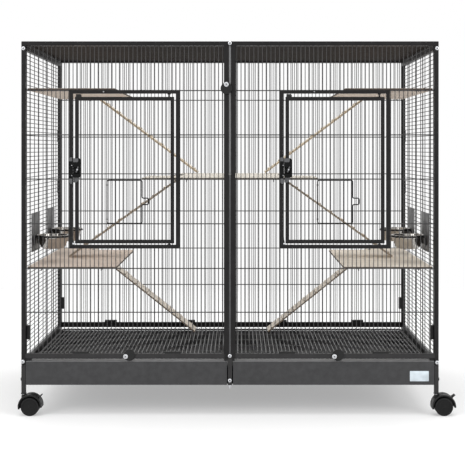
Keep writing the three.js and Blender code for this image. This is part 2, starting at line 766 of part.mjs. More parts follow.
// --------------------------------------------------------------------- casters
// Twin wheels under a hood, turning on a stem in the leg. The hood's outline
// is drawn with the wheel trailing to +X and turned round for the rear pair.
const AXLE_Z = WHEEL_R;
const HOOD_Z = 26.2;
const HOOD_R = 32.6;
const LEVER = [TRAIL + HOOD_R * Math.cos(0.785), HOOD_Z + HOOD_R * Math.sin(0.785)];
function caster(corner, side, back) {
  const place = [[side * STEM_X, back * STEM_Y], back > 0 ? Math.PI : 0];
  const arc = (r, a0, a1, n) =>
    Array.from({ length: n + 1 }, (_, i) => {
      const a = a0 + ((a1 - a0) * i) / n;
      return [TRAIL + r * Math.cos(a), HOOD_Z + r * Math.sin(a)];
    });
  const a0 = -0.1;
  const a1 = Math.PI + 0.2;
  const shell = slabY([...arc(HOOD_R, a0, a1, 14), ...arc(28.4, a1, a0, 14)], -20.5, 20.5);
  const web = slabY([...arc(30, 0.15, Math.PI - 0.1, 10), [TRAIL - 22, 16], [TRAIL - 8, 14], [TRAIL + 8, 14]], -5.6, 5.6);
  const boss = rod(5.2, [0, 0, 34], [0, 0, 57], 12);
  const stem = rod(4, [0, 0, 56], [0, 0, 98], 10);
  const slot = rod(3.1, [LEVER[0], -9, LEVER[1]], [LEVER[0], 9, LEVER[1]], 12);
  const hole = rod(3.4, [TRAIL, -8, AXLE_Z], [TRAIL, 8, AXLE_Z], 12);
  const fork = cut(join([shell, web, boss, stem]), back < 0 ? [slot, hole] : [hole]);
  add("caster_fork_" + corner, fork, BLACK, ...place);
  const r = WHEEL_R / Math.cos(Math.PI / 24);
  const wheels = join([
    rod(r, [TRAIL, -19.4, AXLE_Z], [TRAIL, -6.4, AXLE_Z], 24),
    rod(r, [TRAIL, 6.4, AXLE_Z], [TRAIL, 19.4, AXLE_Z], 24),
    rod(3, [TRAIL, -7, AXLE_Z], [TRAIL, 7, AXLE_Z], 12),
  ]);
  add("caster_wheels_" + corner, wheels, BLACK, ...place);
  if (back < 0) {
    const [lx, lz] = LEVER;
    const lever = join([
      rod(2.6, [lx, -8.4, lz], [lx, 8.4, lz], 10),
      slabY(
        [
          [lx + 0.5, lz - 1.6],
          [lx + 7.6, lz + 5.5],
          [lx + 9.5, lz + 6],
          [lx + 9.5, lz + 8],
          [lx + 6.7, lz + 7.5],
          [lx - 1, lz + 1.8],
        ],
        -8.4,
        8.4,
      ),
    ]);
    add("brake_lever_" + corner, lever, BLACK, ...place);
  }
}
caster("front_left", -1, -1);
caster("front_right", 1, -1);
caster("rear_left", -1, 1);
caster("rear_right", 1, 1);

export default cage;
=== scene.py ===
import math

import bmesh
import bpy
from mathutils import Matrix, Vector


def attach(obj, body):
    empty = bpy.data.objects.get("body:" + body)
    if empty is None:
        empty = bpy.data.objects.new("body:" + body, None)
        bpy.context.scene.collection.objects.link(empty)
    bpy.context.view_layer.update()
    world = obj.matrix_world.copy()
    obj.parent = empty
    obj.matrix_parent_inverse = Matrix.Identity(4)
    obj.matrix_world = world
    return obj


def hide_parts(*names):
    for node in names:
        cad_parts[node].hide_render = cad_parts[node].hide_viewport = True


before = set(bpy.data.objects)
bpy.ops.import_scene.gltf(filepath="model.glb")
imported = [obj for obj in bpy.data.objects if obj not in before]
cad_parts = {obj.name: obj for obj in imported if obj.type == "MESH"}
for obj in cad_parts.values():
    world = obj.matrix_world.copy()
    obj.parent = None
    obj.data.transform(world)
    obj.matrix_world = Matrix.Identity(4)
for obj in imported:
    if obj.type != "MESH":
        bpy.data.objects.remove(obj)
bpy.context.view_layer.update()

# Everything below is drawn in millimetres in the cage's own frame and scaled
# to metres as each mesh is made.

# ------------------------------------------------------------------ sizes
XO, XI = 575.0, 563.0
YO, YI = 337.5, 325.5
HEIGHT = 1030.0
RAIL_Z = 1018.0
FRONT_RAIL = (156.4, 169.6)
REAR_RAIL = (141.0, 156.0)
SIDE_BOTTOM = 138.0
PITCH = 11.8
WIRE_R = 1.06
LEVEL_R = 1.5
LEVELS = (282.8, 403.7, 526.9, 650.2, 772.2, 894.5)
RIGHT = 580.0  # from the left bay to the right one
SURROUND = (-443.0, -139.0, 459.0, 896.0)
LEAF = (-427.0, -154.0, 473.0, 877.0)
HATCH = (-338.75, -242.25, 526.75, 650.25)
HATCH_Y = -336.85


# ------------------------------------------------------------------ shapes
class Shape:
    """Points and faces in millimetres."""

    def __init__(self):
        self.v = []
        self.f = []

    def add(self, v, f):
        n = len(self.v)
        self.v.extend(tuple(p) for p in v)
        self.f.extend(tuple(i + n for i in q) for q in f)
        return self

    def join(self, other):
        return self.add(other.v, other.f)


def loft(rings, caps=(True, True), closed=False):
    """Quads between rings of equal length, with a face over each end."""
    n = len(rings[0])
    v = [p for ring in rings for p in ring]
    f = []
    count = len(rings)
    for k in range(count if closed else count - 1):
        a, b = k * n, ((k + 1) % count) * n
        for i in range(n):
            j = (i + 1) % n
            f.append((a + i, a + j, b + j, b + i))
    if not closed:
        if caps[0]:
            f.append(tuple(reversed(range(n))))
        if caps[1]:
            f.append(tuple(range((count - 1) * n, count * n)))
    return v, f


def rounded(u0, u1, v0, v1, r, n=3):
    pts = []
    for cu, cv, a0 in (
        (u1 - r, v1 - r, 0),
        (u0 + r, v1 - r, 90),
        (u0 + r, v0 + r, 180),
        (u1 - r, v0 + r, 270),
    ):
        for i in range(n + 1):
            a = math.radians(a0 + 90 * i / n)
            pts.append((cu + r * math.cos(a), cv + r * math.sin(a)))
    return pts


def at(axis, d, u, v):
    if axis == "x":
        return (d, u, v)
    if axis == "y":
        return (u, d, v)
    return (u, v, d)


def bar(shape, axis, d, u, v, r=1.4, n=3, end=0.5):
    """A square tube along an axis from d[0] to d[1], with rounded edges."""
    d0, d1 = sorted(d)
    u0, u1 = sorted(u)
    v0, v1 = sorted(v)
    rings = []
    for dd, inset in ((d0, end), (d0 + end, 0), (d1 - end, 0), (d1, end)):
        ring = rounded(u0 + inset, u1 - inset, v0 + inset, v1 - inset, max(r - inset, 0.3), n)
        rings.append([at(axis, dd, a, b) for a, b in ring])
    return shape.add(*loft(rings))


def offset(points, d):
    """A polygon moved to its own inside by d."""
    n = len(points)
    area = sum(
        points[i][0] * points[(i + 1) % n][1] - points[(i + 1) % n][0] * points[i][1]
        for i in range(n)
    )
    s = 1 if area > 0 else -1
    out = []
    for i in range(n):
        (ax, ay), (bx, by), (cx, cy) = points[i - 1], points[i], points[(i + 1) % n]
        e1 = Vector((bx - ax, by - ay)).normalized()
        e2 = Vector((cx - bx, cy - by)).normalized()
        n1 = Vector((-e1.y, e1.x)) * s
        n2 = Vector((-e2.y, e2.x)) * s
        k = max(1 + n1.dot(n2), 0.3)
        m = (n1 + n2) / k
        out.append((bx + m.x * d, by + m.y * d))
    return out


def slab(shape, axis, outline, d, r=0.8, n=3):
    """An outline carried along an axis, with rounded rims."""
    d0, d1 = sorted(d)
    steps = []
    for k in range(n + 1):
        a = math.radians(90 * k / n)
        steps.append((d0 + r * (1 - math.sin(a)), r * (1 - math.cos(a))))
    low = [(dd, ins) for dd, ins in reversed(steps)]
    rings = []
    seq = [(d0 + r * (1 - math.cos(math.radians(90 * k / n))), r * (1 - math.sin(math.radians(90 * k / n)))) for k in range(n + 1)]
    for dd, ins in seq:
        rings.append([at(axis, dd, a, b) for a, b in offset(outline, ins)])
    for dd, ins in reversed(seq):
        rings.append([at(axis, d0 + d1 - dd, a, b) for a, b in offset(outline, ins)])
    return shape.add(*loft(rings))


def soft(points, r, n=4):
    """A polygon with its corners rounded. r is one radius, or one for each corner."""
    out = []
    m = len(points)
    for i, p in enumerate(points):
        rr = r[i] if isinstance(r, (list, tuple)) else r
        b = Vector(p)
        if rr <= 0:
            out.append((b.x, b.y))
            continue
        a = Vector(points[i - 1]) - b
        c = Vector(points[(i + 1) % m]) - b
        la, lc = a.length, c.length
        a.normalize()
        c.normalize()
        ang = a.angle(c)
        t = min(rr / math.tan(ang / 2), la * 0.49, lc * 0.49)
        rr = t * math.tan(ang / 2)
        centre = b + (a + c).normalized() * (rr / math.sin(ang / 2))
        s = b + a * t - centre
        e = b + c * t - centre
        a0 = math.atan2(s.y, s.x)
        a1 = math.atan2(e.y, e.x)
        da = (a1 - a0 + math.pi) % (2 * math.pi) - math.pi
        for k in range(n + 1):
            q = a0 + da * k / n
            out.append((centre.x + rr * math.cos(q), centre.y + rr * math.sin(q)))
    return out


def circle(u, v, r, n=32, phase=0.0):
    return [
        (u + r * math.cos(2 * math.pi * (i + phase) / n), v + r * math.sin(2 * math.pi * (i + phase) / n))
        for i in range(n)
    ]


def lathe(shape, profile, centre, axis="z", n=48, closed=False):
    """A profile of (radius, height) pairs turned about an axis through centre."""
    cu = {"x": (centre[1], centre[2], centre[0]), "y": (centre[0], centre[2], centre[1]), "z": centre}[axis]
    v, f = [], []
    index = []
    for r, h in profile:
        if r < 1e-6:
            index.append([len(v)])
            v.append(at(axis, cu[2] + h, cu[0], cu[1]))
        else:
            index.append(list(range(len(v), len(v) + n)))
            v.extend(at(axis, cu[2] + h, a, b) for a, b in circle(cu[0], cu[1], r, n))
    pairs = list(zip(index[:-1], index[1:]))
    if closed:
        pairs.append((index[-1], index[0]))
    for a, b in pairs:
        for i in range(n):
            j = (i + 1) % n
            if len(a) == 1 and len(b) == 1:
                continue
            if len(a) == 1:
                f.append((a[0], b[i], b[j]))
            elif len(b) == 1:
                f.append((a[i], b[0], a[j]))
            else:
                f.append((a[i], b[i], b[j], a[j]))
    return shape.add(v, f)


def wire(shape, p, q, r=WIRE_R, n=8):
    p, q = Vector(p), Vector(q)
    d = (q - p).normalized()
    side = Vector((0, 0, 1)) if abs(d.z) < 0.9 else Vector((1, 0, 0))
    a = d.cross(side).normalized()
    b = d.cross(a)
    rings = []
    for c in (p, q):
        rings.append(
            [c + (a * math.cos(2 * math.pi * i / n) + b * math.sin(2 * math.pi * i / n)) * r for i in range(n)]
        )
    return shape.add(*loft(rings))


def fillet(points, r, n=5, closed=False):
    pts = [Vector(p) for p in points]
    out = []
    m = len(pts)
    for i, b in enumerate(pts):
        if not closed and i in (0, m - 1):
            out.append(b)
            continue
        a = pts[i - 1] - b
        c = pts[(i + 1) % m] - b
        la, lc = a.length, c.length
        a.normalize()
        c.normalize()
        ang = a.angle(c)
        if ang > math.pi - 0.02:
            out.append(b)
            continue
        t = min(r / math.tan(ang / 2), la * 0.48, lc * 0.48)
        rr = t * math.tan(ang / 2)
        centre = b + (a + c).normalized() * (rr / math.sin(ang / 2))
        s, e = b + a * t - centre, b + c * t - centre
        for k in range(n + 1):
            out.append(centre + s.slerp(e, k / n).normalized() * rr)
    return out


def sweep(shape, points, r, n=10, closed=False):
    """A round wire along a path."""
    pts = [Vector(p) for p in points]
    m = len(pts)
    tangents = []
    for i in range(m):
        if closed:
            t = pts[(i + 1) % m] - pts[i - 1]
        else:
            t = pts[min(i + 1, m - 1)] - pts[max(i - 1, 0)]
        tangents.append(t.normalized())
    ref = Vector((0, 0, 1)) if abs(tangents[0].z) < 0.9 else Vector((1, 0, 0))
    a = tangents[0].cross(ref).normalized()
    rings = []
    for i in range(m):
        t = tangents[i]
        a = (a - t * a.dot(t)).normalized()
        b = t.cross(a)
        rings.append(
            [pts[i] + (a * math.cos(2 * math.pi * k / n) + b * math.sin(2 * math.pi * k / n)) * r for k in range(n)]
        )
    return shape.add(*loft(rings, closed=closed))


# --------------------------------------------------------------- materials
def new_material(name):
    m = bpy.data.materials.new(name)
    m.use_nodes = True
    t = m.node_tree
    t.nodes.clear()
    out = t.nodes.new("ShaderNodeOutputMaterial")
    bsdf = t.nodes.new("ShaderNodeBsdfPrincipled")
    t.links.new(bsdf.outputs[0], out.inputs[0])
    return m, t, bsdf


def node(t, kind, **values):
    n = t.nodes.new(kind)
    for key, value in values.items():
        if hasattr(n, key):
            setattr(n, key, value)
        else:
            n.inputs[key].default_value = value
    return n


def noise(t, scale, detail=3.0, rough=0.5, stretch=(1, 1, 1), distortion=0.0):
    coord = t.nodes.new("ShaderNodeTexCoord")
    mapping = t.nodes.new("ShaderNodeMapping")
    mapping.inputs["Scale"].default_value = stretch
    n = t.nodes.new("ShaderNodeTexNoise")
    n.inputs["Scale"].default_value = scale
    n.inputs["Detail"].default_value = detail
    n.inputs["Roughness"].default_value = rough
    n.inputs["Distortion"].default_value = distortion
    t.links.new(coord.outputs["Object"], mapping.inputs["Vector"])
    t.links.new(mapping.outputs[0], n.inputs["Vector"])
    return n.outputs["Fac"]


def spread(t, fac, low, high, centre=0.5, width=0.3):
    """Maps a noise's middle range to low..high."""
    m = t.nodes.new("ShaderNodeMapRange")
    m.inputs["From Min"].default_value = centre - width / 2
    m.inputs["From Max"].default_value = centre + width / 2
    m.inputs["To Min"].default_value = low
    m.inputs["To Max"].default_value = high
    t.links.new(fac, m.inputs["Value"])
    return m.outputs[0]


def mix(t, fac, a, b):
    m = t.nodes.new("ShaderNodeMix")
    m.data_type = "RGBA"
    m.inputs[6].default_value = (*a, 1) if isinstance(a, tuple) else (1, 1, 1, 1)
    m.inputs[7].default_value = (*b, 1) if isinstance(b, tuple) else (1, 1, 1, 1)
    if not isinstance(a, tuple):
        t.links.new(a, m.inputs[6])
    if not isinstance(b, tuple):
        t.links.new(b, m.inputs[7])
    if isinstance(fac, (int, float)):
        m.inputs[0].default_value = fac
    else:
        t.links.new(fac, m.inputs[0])
    return m.outputs[2]


def bump(t, bsdf, fac, strength, distance):
    b = t.nodes.new("ShaderNodeBump")
    b.inputs["Strength"].default_value = strength
    b.inputs["Distance"].default_value = distance
    t.links.new(fac, b.inputs["Height"])
    t.links.new(b.outputs[0], bsdf.inputs["Normal"])
    return b


def powder(name, base, rough=0.45, variation=0.12, metallic=0.0, grain=0.25, spec=0.5):
    """Powder-coated steel: a fine orange peel, slightly uneven tone and worn edges."""
    m, t, bsdf = new_material(name)
    cloud = noise(t, 14, 5, 0.55)
    fine = noise(t, 1500, 2, 0.5)
    dark = tuple(c * (1 - variation) for c in base)
    light = tuple(min(c * (1 + variation), 1) for c in base)
    tone = mix(t, spread(t, cloud, 0, 1), dark, light)
    geo = t.nodes.new("ShaderNodeNewGeometry")
    edge = spread(t, geo.outputs["Pointiness"], 0, 0.35, 0.56, 0.1)
    rub = t.nodes.new("ShaderNodeMath")
    rub.operation = "MULTIPLY"
    t.links.new(edge, rub.inputs[0])
    t.links.new(spread(t, noise(t, 60, 4, 0.6), 0.2, 1.0), rub.inputs[1])
    rub.use_clamp = True
    worn = tuple(min(c * 2.1 + 0.01, 1) for c in base)
    t.links.new(mix(t, rub.outputs[0], tone, worn), bsdf.inputs["Base Color"])
    t.links.new(spread(t, noise(t, 40, 4, 0.6), rough - 0.05, rough + 0.07), bsdf.inputs["Roughness"])
    bsdf.inputs["Metallic"].default_value = metallic
    bsdf.inputs["Specular IOR Level"].default_value = spec
    bump(t, bsdf, fine, grain, 0.00012)
    return m


def plastic(name, base, rough=0.42, grain=0.2, spec=0.5):
    m, t, bsdf = new_material(name)
    bsdf.inputs["Specular IOR Level"].default_value = spec
    cloud = noise(t, 30, 3, 0.5)
    t.links.new(
        mix(t, spread(t, cloud, 0, 1), tuple(c * 0.85 for c in base), tuple(c * 1.2 for c in base)),
        bsdf.inputs["Base Color"],
    )
    t.links.new(spread(t, noise(t, 90, 3, 0.6), rough - 0.05, rough + 0.08), bsdf.inputs["Roughness"])
    bump(t, bsdf, noise(t, 2500, 2, 0.5), grain, 0.00008)
    return m


def metal(name, base, rough=0.25, stretch=(1, 1, 1), scale=900, grain=0.15, spreadr=0.06):
    m, t, bsdf = new_material(name)
    line = noise(t, scale, 4, 0.6, stretch)
    t.links.new(
        mix(t, spread(t, noise(t, 35, 3, 0.5), 0, 1), tuple(c * 0.9 for c in base), base),
        bsdf.inputs["Base Color"],
    )
    bsdf.inputs["Metallic"].default_value = 1.0
    t.links.new(spread(t, line, rough - spreadr, rough + spreadr), bsdf.inputs["Roughness"])
    bump(t, bsdf, line, grain, 0.00004)
    return m


def wood(name, light, dark, edge, along="x", ring_scale=1.0):
    """Pale board with fine grain along one axis and a browner sawn edge."""
    m, t, bsdf = new_material(name)
    k = {"x": (0.06, 1, 1), "y": (1, 0.06, 1), "z": (1, 1, 0.06)}[along]
    broad = noise(t, 34 * ring_scale, 4, 0.55, k, 0.8)
    streak = noise(t, 260, 4, 0.65, k)
    pores = noise(t, 1500, 2, 0.5, (k[0] * 2, k[1], k[2]))
    blotch = noise(t, 7, 3, 0.5)
    face = mix(t, spread(t, broad, 0, 1, 0.5, 0.35), dark, light)
    face = mix(t, spread(t, streak, 0.0, 0.45, 0.5, 0.4), face, tuple(c * 0.72 for c in dark))
    face = mix(t, spread(t, blotch, 0.0, 0.3, 0.5, 0.4), face, tuple(min(c * 1.12, 1) for c in light))
    geo = t.nodes.new("ShaderNodeNewGeometry")
    split = t.nodes.new("ShaderNodeSeparateXYZ")
    coord = t.nodes.new("ShaderNodeTexCoord")
    t.links.new(coord.outputs["Normal"], split.inputs[0])
    absz = t.nodes.new("ShaderNodeMath")
    absz.operation = "ABSOLUTE"
    t.links.new(split.outputs["Z"], absz.inputs[0])
    side = spread(t, absz.outputs[0], 1, 0, 0.45, 0.2)
    band = mix(t, spread(t, noise(t, 420, 3, 0.6, (0.25, 0.25, 1.6)), 0, 1), edge, tuple(c * 0.7 for c in edge))
    t.links.new(mix(t, side, face, band), bsdf.inputs["Base Color"])
    t.links.new(spread(t, streak, 0.62, 0.8), bsdf.inputs["Roughness"])
    bsdf.inputs["Specular IOR Level"].default_value = 0.3
    mixed = t.nodes.new("ShaderNodeMath")
    mixed.operation = "ADD"
    t.links.new(streak, mixed.inputs[0])
    t.links.new(pores, mixed.inputs[1])
    bump(t, bsdf, mixed.outputs[0], 0.25, 0.00025)
    return m


STEEL = powder("anthracite_coat", (0.0060, 0.0056, 0.0058), 0.42, spec=0.18)
# Lower rails and base carry the same anthracite coat as the frame; this copy is painted about twice as light, a painted
# highlight for the light they catch.
LOW_STEEL_PAINTED_LIT = powder("low_coat_painted_lighter", (0.0125, 0.0120, 0.0124), 0.42, spec=0.3)
# The wires carry the frame's anthracite coat; this copy is painted about three times as light, a painted highlight for
# the light the thin wires catch.
MESH = powder("mesh_coat", (0.0190, 0.0183, 0.0187), 0.42, grain=0.15, spec=0.45)
TOPMESH = powder("top_mesh_coat", (0.0185, 0.0160, 0.0148), 0.6, grain=0.15, spec=0.2)
# Floor wires are painted light grey, about five times the wall mesh: a painted highlight for the light on their upper
# faces.
GRID = powder("floor_wire_painted_highlight", (0.095, 0.095, 0.097), 0.36, grain=0.15, spec=0.5)
TRAY = powder("tray_coat", (0.0240, 0.0240, 0.0252), 0.5, 0.05, spec=0.34)
# The pan is the tray's own sheet, painted lighter: painted light for the light falling into it from above.
PAN = powder("tray_pan_painted_light", (0.060, 0.060, 0.063), 0.45, 0.05, spec=0.4)
# The top fold is the tray's own sheet painted light grey: a painted highlight for the light its upper face catches.
LIP = powder("tray_lip_painted_highlight", (0.120, 0.120, 0.123), 0.45, 0.05, spec=0.4)
PLATE = powder("holder_coat", (0.066, 0.066, 0.069), 0.42, 0.06, spec=0.35)
# The strips in the middle joint are painted grey for the light reflected inside the channel; the upper copy is painted
# lighter for the light from above.
JOINT = powder("joint_upper_painted_light", (0.118, 0.118, 0.120), 0.5, 0.1, spec=0.3)
JOINT_LOW = powder("joint_lower_painted_light", (0.050, 0.050, 0.052), 0.5, 0.1, spec=0.3)
# Grey for the latch plates and lever: painted highlights on the black latch.
LATCH = powder("latch_painted_highlight", (0.060, 0.061, 0.064), 0.4, 0.12)
LATCH_BLACK = plastic("latch_moulding", (0.0034, 0.0036, 0.0038), 0.42, spec=0.10)
BLACK = plastic("black_moulding", (0.0060, 0.0060, 0.0061), 0.4, spec=0.28)
RUBBER = plastic("caster_tread", (0.0065, 0.0065, 0.0067), 0.6, 0.35, spec=0.25)
SATIN = plastic("caster_hub", (0.0046, 0.0046, 0.0047), 0.5, 0.15, spec=0.2)
ZINC = metal("zinc_screw", (0.60, 0.61, 0.63), 0.28)
# Hex sockets are drawn as dark discs on the screw heads: painted shade for the recess.
SOCKET_PAINTED_SHADE = metal("screw_socket", (0.10, 0.10, 0.105), 0.45)
BOWL = metal("stainless_bowl", (0.46, 0.440, 0.415), 0.08, (0.15, 0.15, 3.0), 500, 0.06, 0.05)
STICKER = plastic("blank_sticker", (0.50, 0.56, 0.60), 0.35, 0.03)
BOARD = wood("pale_board", (0.720, 0.630, 0.550), (0.590, 0.490, 0.410), (0.085, 0.062, 0.048))
BOARD_LL = wood("pale_board_lower_left", (0.780, 0.670, 0.585), (0.620, 0.510, 0.430), (0.100, 0.076, 0.055))
BOARD_LR = wood("pale_board_lower_right", (0.860, 0.790, 0.700), (0.700, 0.615, 0.505), (0.100, 0.076, 0.055))
BOARD_MID = wood("pale_board_middle", (0.680, 0.645, 0.580), (0.545, 0.505, 0.440), (0.105, 0.085, 0.060))
RUNG_UP = wood("ladder_wood_upper", (0.800, 0.730, 0.620), (0.680, 0.600, 0.490), (0.520, 0.425, 0.305), "y")
RUNG_MID = wood("ladder_wood_middle", (0.760, 0.690, 0.600), (0.640, 0.560, 0.470), (0.360, 0.300, 0.235), "y")
RUNG_LOW = wood("ladder_wood_lower", (0.820, 0.760, 0.680), (0.700, 0.630, 0.540), (0.250, 0.190, 0.140), "y")


# ------------------------------------------------------------------ pieces
def make(name, shape, material, body="cage", replaces=(), sharp=38, weighted=True):
    me = bpy.data.meshes.new(name)
    me.from_pydata([(x * 0.001, y * 0.001, z * 0.001) for x, y, z in shape.v], [], shape.f)
    me.update()
    bm = bmesh.new()
    bm.from_mesh(me)
    bmesh.ops.recalc_face_normals(bm, faces=bm.faces)
    bm.to_mesh(me)
    bm.free()
    for p in me.polygons:
        p.use_smooth = True
    me.set_sharp_from_angle(angle=math.radians(sharp))
    o = bpy.data.objects.new(name, me)
    bpy.context.scene.collection.objects.link(o)
    me.materials.append(material)
    if weighted:
        w = o.modifiers.new("normals", "WEIGHTED_NORMAL")
        w.keep_sharp = True
    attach(o, body)
    if replaces:
        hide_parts(*replaces)
    return o


SIDES = (("left", -1, 0.0), ("right", 1, RIGHT))


def wires_between(lo, hi, phase):
    """Wire places at the real pitch between two bars, from a starting phase."""
    out = []
    x = lo + phase
    while x < hi - 2.5:
        if x > lo + 2.5:
            out.append(x)
        x += PITCH
    return out


# --------------------------------------------------------- front and rear
FRONT_PHASE = {"left": 12.07, "right": 3.44}
REAR_PHASE = {"left": 13.0, "right": 5.2}
for side, s, dx in SIDES:
    xo, xt = s * XO, s * XI
    xm, xn = s * 15.0, s * 5.0
    lo, hi = (xt, xm) if s < 0 else (xm, xt)
    # front frame
    f = Shape()
    Y = (-YO, -YI)
    bar(f, "z", (138.4, RAIL_Z + 0.7), (xo, xt), Y, 1.6)
    bar(f, "z", (FRONT_RAIL[0], RAIL_Z + 0.7), (-16.8, -3.2) if s < 0 else (3.0, 15.4), Y, 1.4)
    bar(f, "x", (s * XO, s * 0.4), Y, (RAIL_Z, HEIGHT), 1.6, end=1.2)
    # The front bottom rail takes the painted-lighter copy of the frame coat.
    q = Shape()
    bar(q, "x", (s * (XI + 0.8), s * 14.7), Y, FRONT_RAIL, 1.4)
    make(f"front_sill_{side}", q, LOW_STEEL_PAINTED_LIT, "cage")
    sx0, sx1, sz0, sz1 = SURROUND[0] + dx, SURROUND[1] + dx, SURROUND[2], SURROUND[3]
    YB = (-YO, -YI)
    bar(f, "z", (sz0, sz1), (sx0, sx0 + 10), YB, 1.1)
    bar(f, "z", (sz0, sz1), (sx1 - 10, sx1), YB, 1.1)
    bar(f, "x", (sx0 + 9.3, sx1 - 9.3), YB, (sz0, sz0 + 10), 1.1)
    bar(f, "x", (sx0 + 9.3, sx1 - 9.3), YB, (sz1 - 10, sz1), 1.1)
    # door pivot pins with a collar each
    px = -168.0 + dx
    lathe(f, [(0, 0), (2.5, 0), (2.5, 11), (0, 11)], (px, -332.5, 875.6), "z", 20)
    lathe(f, [(0, 0), (2.5, 0), (2.5, 11), (0, 11)], (px, -332.5, 463.8), "z", 20)
    lathe(f, [(2.4, 0), (4.6, 0), (4.6, 2.2), (2.4, 2.2)], (px, -332.5, 883.6), "z", 24, closed=True)
    lathe(f, [(2.4, 0), (4.6, 0), (4.6, 2.0), (2.4, 2.0)], (px, -332.5, 469.2), "z", 24, closed=True)
    make(f"front_frame_{side}", f, STEEL, "cage", [f"front_panel_{side}"])
    # front mesh
    w = Shape()
    for x in wires_between(lo, hi, FRONT_PHASE[side]):
        if sx0 + 1 < x < sx1 - 1:
            wire(w, (x, -333, FRONT_RAIL[1] - 1), (x, -333, sz0 + 1))
            wire(w, (x, -333, sz1 - 1), (x, -333, RAIL_Z + 1))
        else:
            wire(w, (x, -333, FRONT_RAIL[1] - 1), (x, -333, RAIL_Z + 1))
    for z in LEVELS:
        if z < sz0:
            wire(w, (lo - 1, -331.1, z), (hi + 1, -331.1, z), LEVEL_R)
        else:
            wire(w, (lo - 1, -331.1, z), (sx0 + 1, -331.1, z), LEVEL_R)
            wire(w, (sx1 - 1, -331.1, z), (hi + 1, -331.1, z), LEVEL_R)
    make(f"front_mesh_{side}", w, MESH, "cage", sharp=60, weighted=False)
    # rear frame
    f = Shape()
    Y = (YI, YO)
    bar(f, "z", (138.4, RAIL_Z + 0.7), (xo, xt), Y, 1.6)
    bar(f, "z", (REAR_RAIL[0], RAIL_Z + 0.7), (s * 15.4, s * 1.7), Y, 1.4)
    bar(f, "x", (s * XO, s * 0.4), Y, (RAIL_Z, HEIGHT), 1.6, end=1.2)
    bar(f, "x", (s * (XI + 0.8), s * 14.3), Y, (141.2, 157.8), 1.4)
    make(f"rear_frame_{side}", f, STEEL, "cage", [f"rear_panel_{side}"])
    w = Shape()
    for x in wires_between(lo, hi, REAR_PHASE[side]):
        wire(w, (x, 333, REAR_RAIL[1] - 1), (x, 333, RAIL_Z + 1))
    for z in LEVELS:
        wire(w, (lo - 1, 331.1, z), (hi + 1, 331.1, z), LEVEL_R)
    make(f"rear_mesh_{side}", w, MESH, "cage", sharp=60, weighted=False)
    # side frame
    f = Shape()
    X = (xo, xt)
    y = 325.2
    top = RAIL_Z - 0.3
    bar(f, "z", (138.4, top), X, (-y, -y + 12), 1.4)
    bar(f, "z", (138.4, top), X, (y - 12, y), 1.4)
    bar(f, "y", (-y + 10.8, y - 10.8), X, (SIDE_BOTTOM, SIDE_BOTTOM + 12), 1.4)
    bar(f, "y", (-y + 10.8, y - 10.8), X, (top - 12, top), 1.4)
    make(f"side_frame_{side}", f, STEEL, "cage", [f"side_panel_{side}"])
    w = Shape()
    z = SIDE_BOTTOM + 12 + 7.4
    while z < top - 14:
        wire(w, (s * 569.5, -y + 11, z), (s * 569.5, y - 11, z))
        z += PITCH
    for yy in (-242, -103, 36, 175):
        wire(w, (s * 567.4, yy, 149), (s * 567.4, yy, top - 11), LEVEL_R)
    make(f"side_mesh_{side}", w, MESH, "cage", sharp=60, weighted=False)
    # top frame
    f = Shape()
    Z = (RAIL_Z + 0.3, HEIGHT)
    bar(f, "y", (-y, y), (xo, xt), Z, 1.4)
    bar(f, "y", (-y, y), (s * 12.3, s * 0.3), Z, 1.4)
    bar(f, "x", (s * (XI + 0.8), s * 11.5), (-y, -y + 12), Z, 1.4)
    bar(f, "x", (s * (XI + 0.8), s * 11.5), (y - 12, y), Z, 1.4)
    make(f"top_frame_{side}", f, STEEL, "cage", [f"top_panel_{side}"])
    w = Shape()
    yy = -y + 12 + 7
    while yy < y - 14:
        wire(w, (s * (XI + 1), yy, 1025.5), (s * 11.3, yy, 1025.5))
        yy += PITCH
    x = 143.0
    while x < 560:
        wire(w, (s * x, -y + 11, 1027.6), (s * x, y - 11, 1027.6), 1.1)
        x += 132.0
    make(f"top_mesh_{side}", w, TOPMESH, "cage", sharp=60, weighted=False)

    # ------------------------------------------------------------- base side
    b = Shape()
    bar(b, "z", (60.3, 137.4), (xo, xt), (-YO, -YI), 1.6)
    bar(b, "z", (60.3, 137.4), (xo, xt), (YI, YO), 1.6)
    bar(b, "y", (-YI - 1, YI + 1), (s * 563.2, s * 564.1), (84.9, 141.0), 0.3, 1, 0.2)
    bar(b, "y", (-YI + 0.5, YI - 0.5), (s * 563.8, s * 556.3), (84.2, 85.7), 0.4, 1, 0.2)
    bar(b, "y", (-YI + 0.5, YI - 0.5), (s * 563.8, s * 556.3), (131.3, 132.7), 0.4, 1, 0.2)
    # The base tubes take the painted-lighter copy of the frame coat.
    make(f"base_frame_{side}", b, LOW_STEEL_PAINTED_LIT, "cage", [f"base_side_{side}"])
    p = Shape()
    for yc in (-(YO - 6), YO - 6):
        xc = s * (XO - 6)
        slab(p, "z", rounded(xc - 6.9, xc + 6.9, yc - 6.9, yc + 6.9, 2.2, 4), (57.9, 60.9), 0.8)
    make(f"leg_plugs_{side}", p, BLACK, "cage")

# ------------------------------------------------------------- base middle
b = Shape()
bar(b, "z", (83.4, 155.8), (-5.8, 5.8), (-YO, -YI), 1.2)
bar(b, "z", (155.0, 169.4), (-4.6, 4.6), (-YO + 0.2, -YI - 0.2), 0.8)
bar(b, "z", (83.4, 140.6), (-5.8, 5.8), (YI, YO), 1.2)
bar(b, "z", (139.4, 155.8), (-4.6, 4.6), (YI + 0.2, YO - 0.2), 0.8)
bar(b, "y", (-YI - 1, YI + 1), (-0.75, 0.75), (84.9, 132.0), 0.3, 1, 0.2)
bar(b, "y", (-YI + 0.5, YI - 0.5), (-22, 22), (84.2, 85.7), 0.4, 1, 0.2)
bar(b, "y", (-YI + 0.5, YI - 0.5), (-12, 12), (131.3, 132.7), 0.4, 1, 0.2)
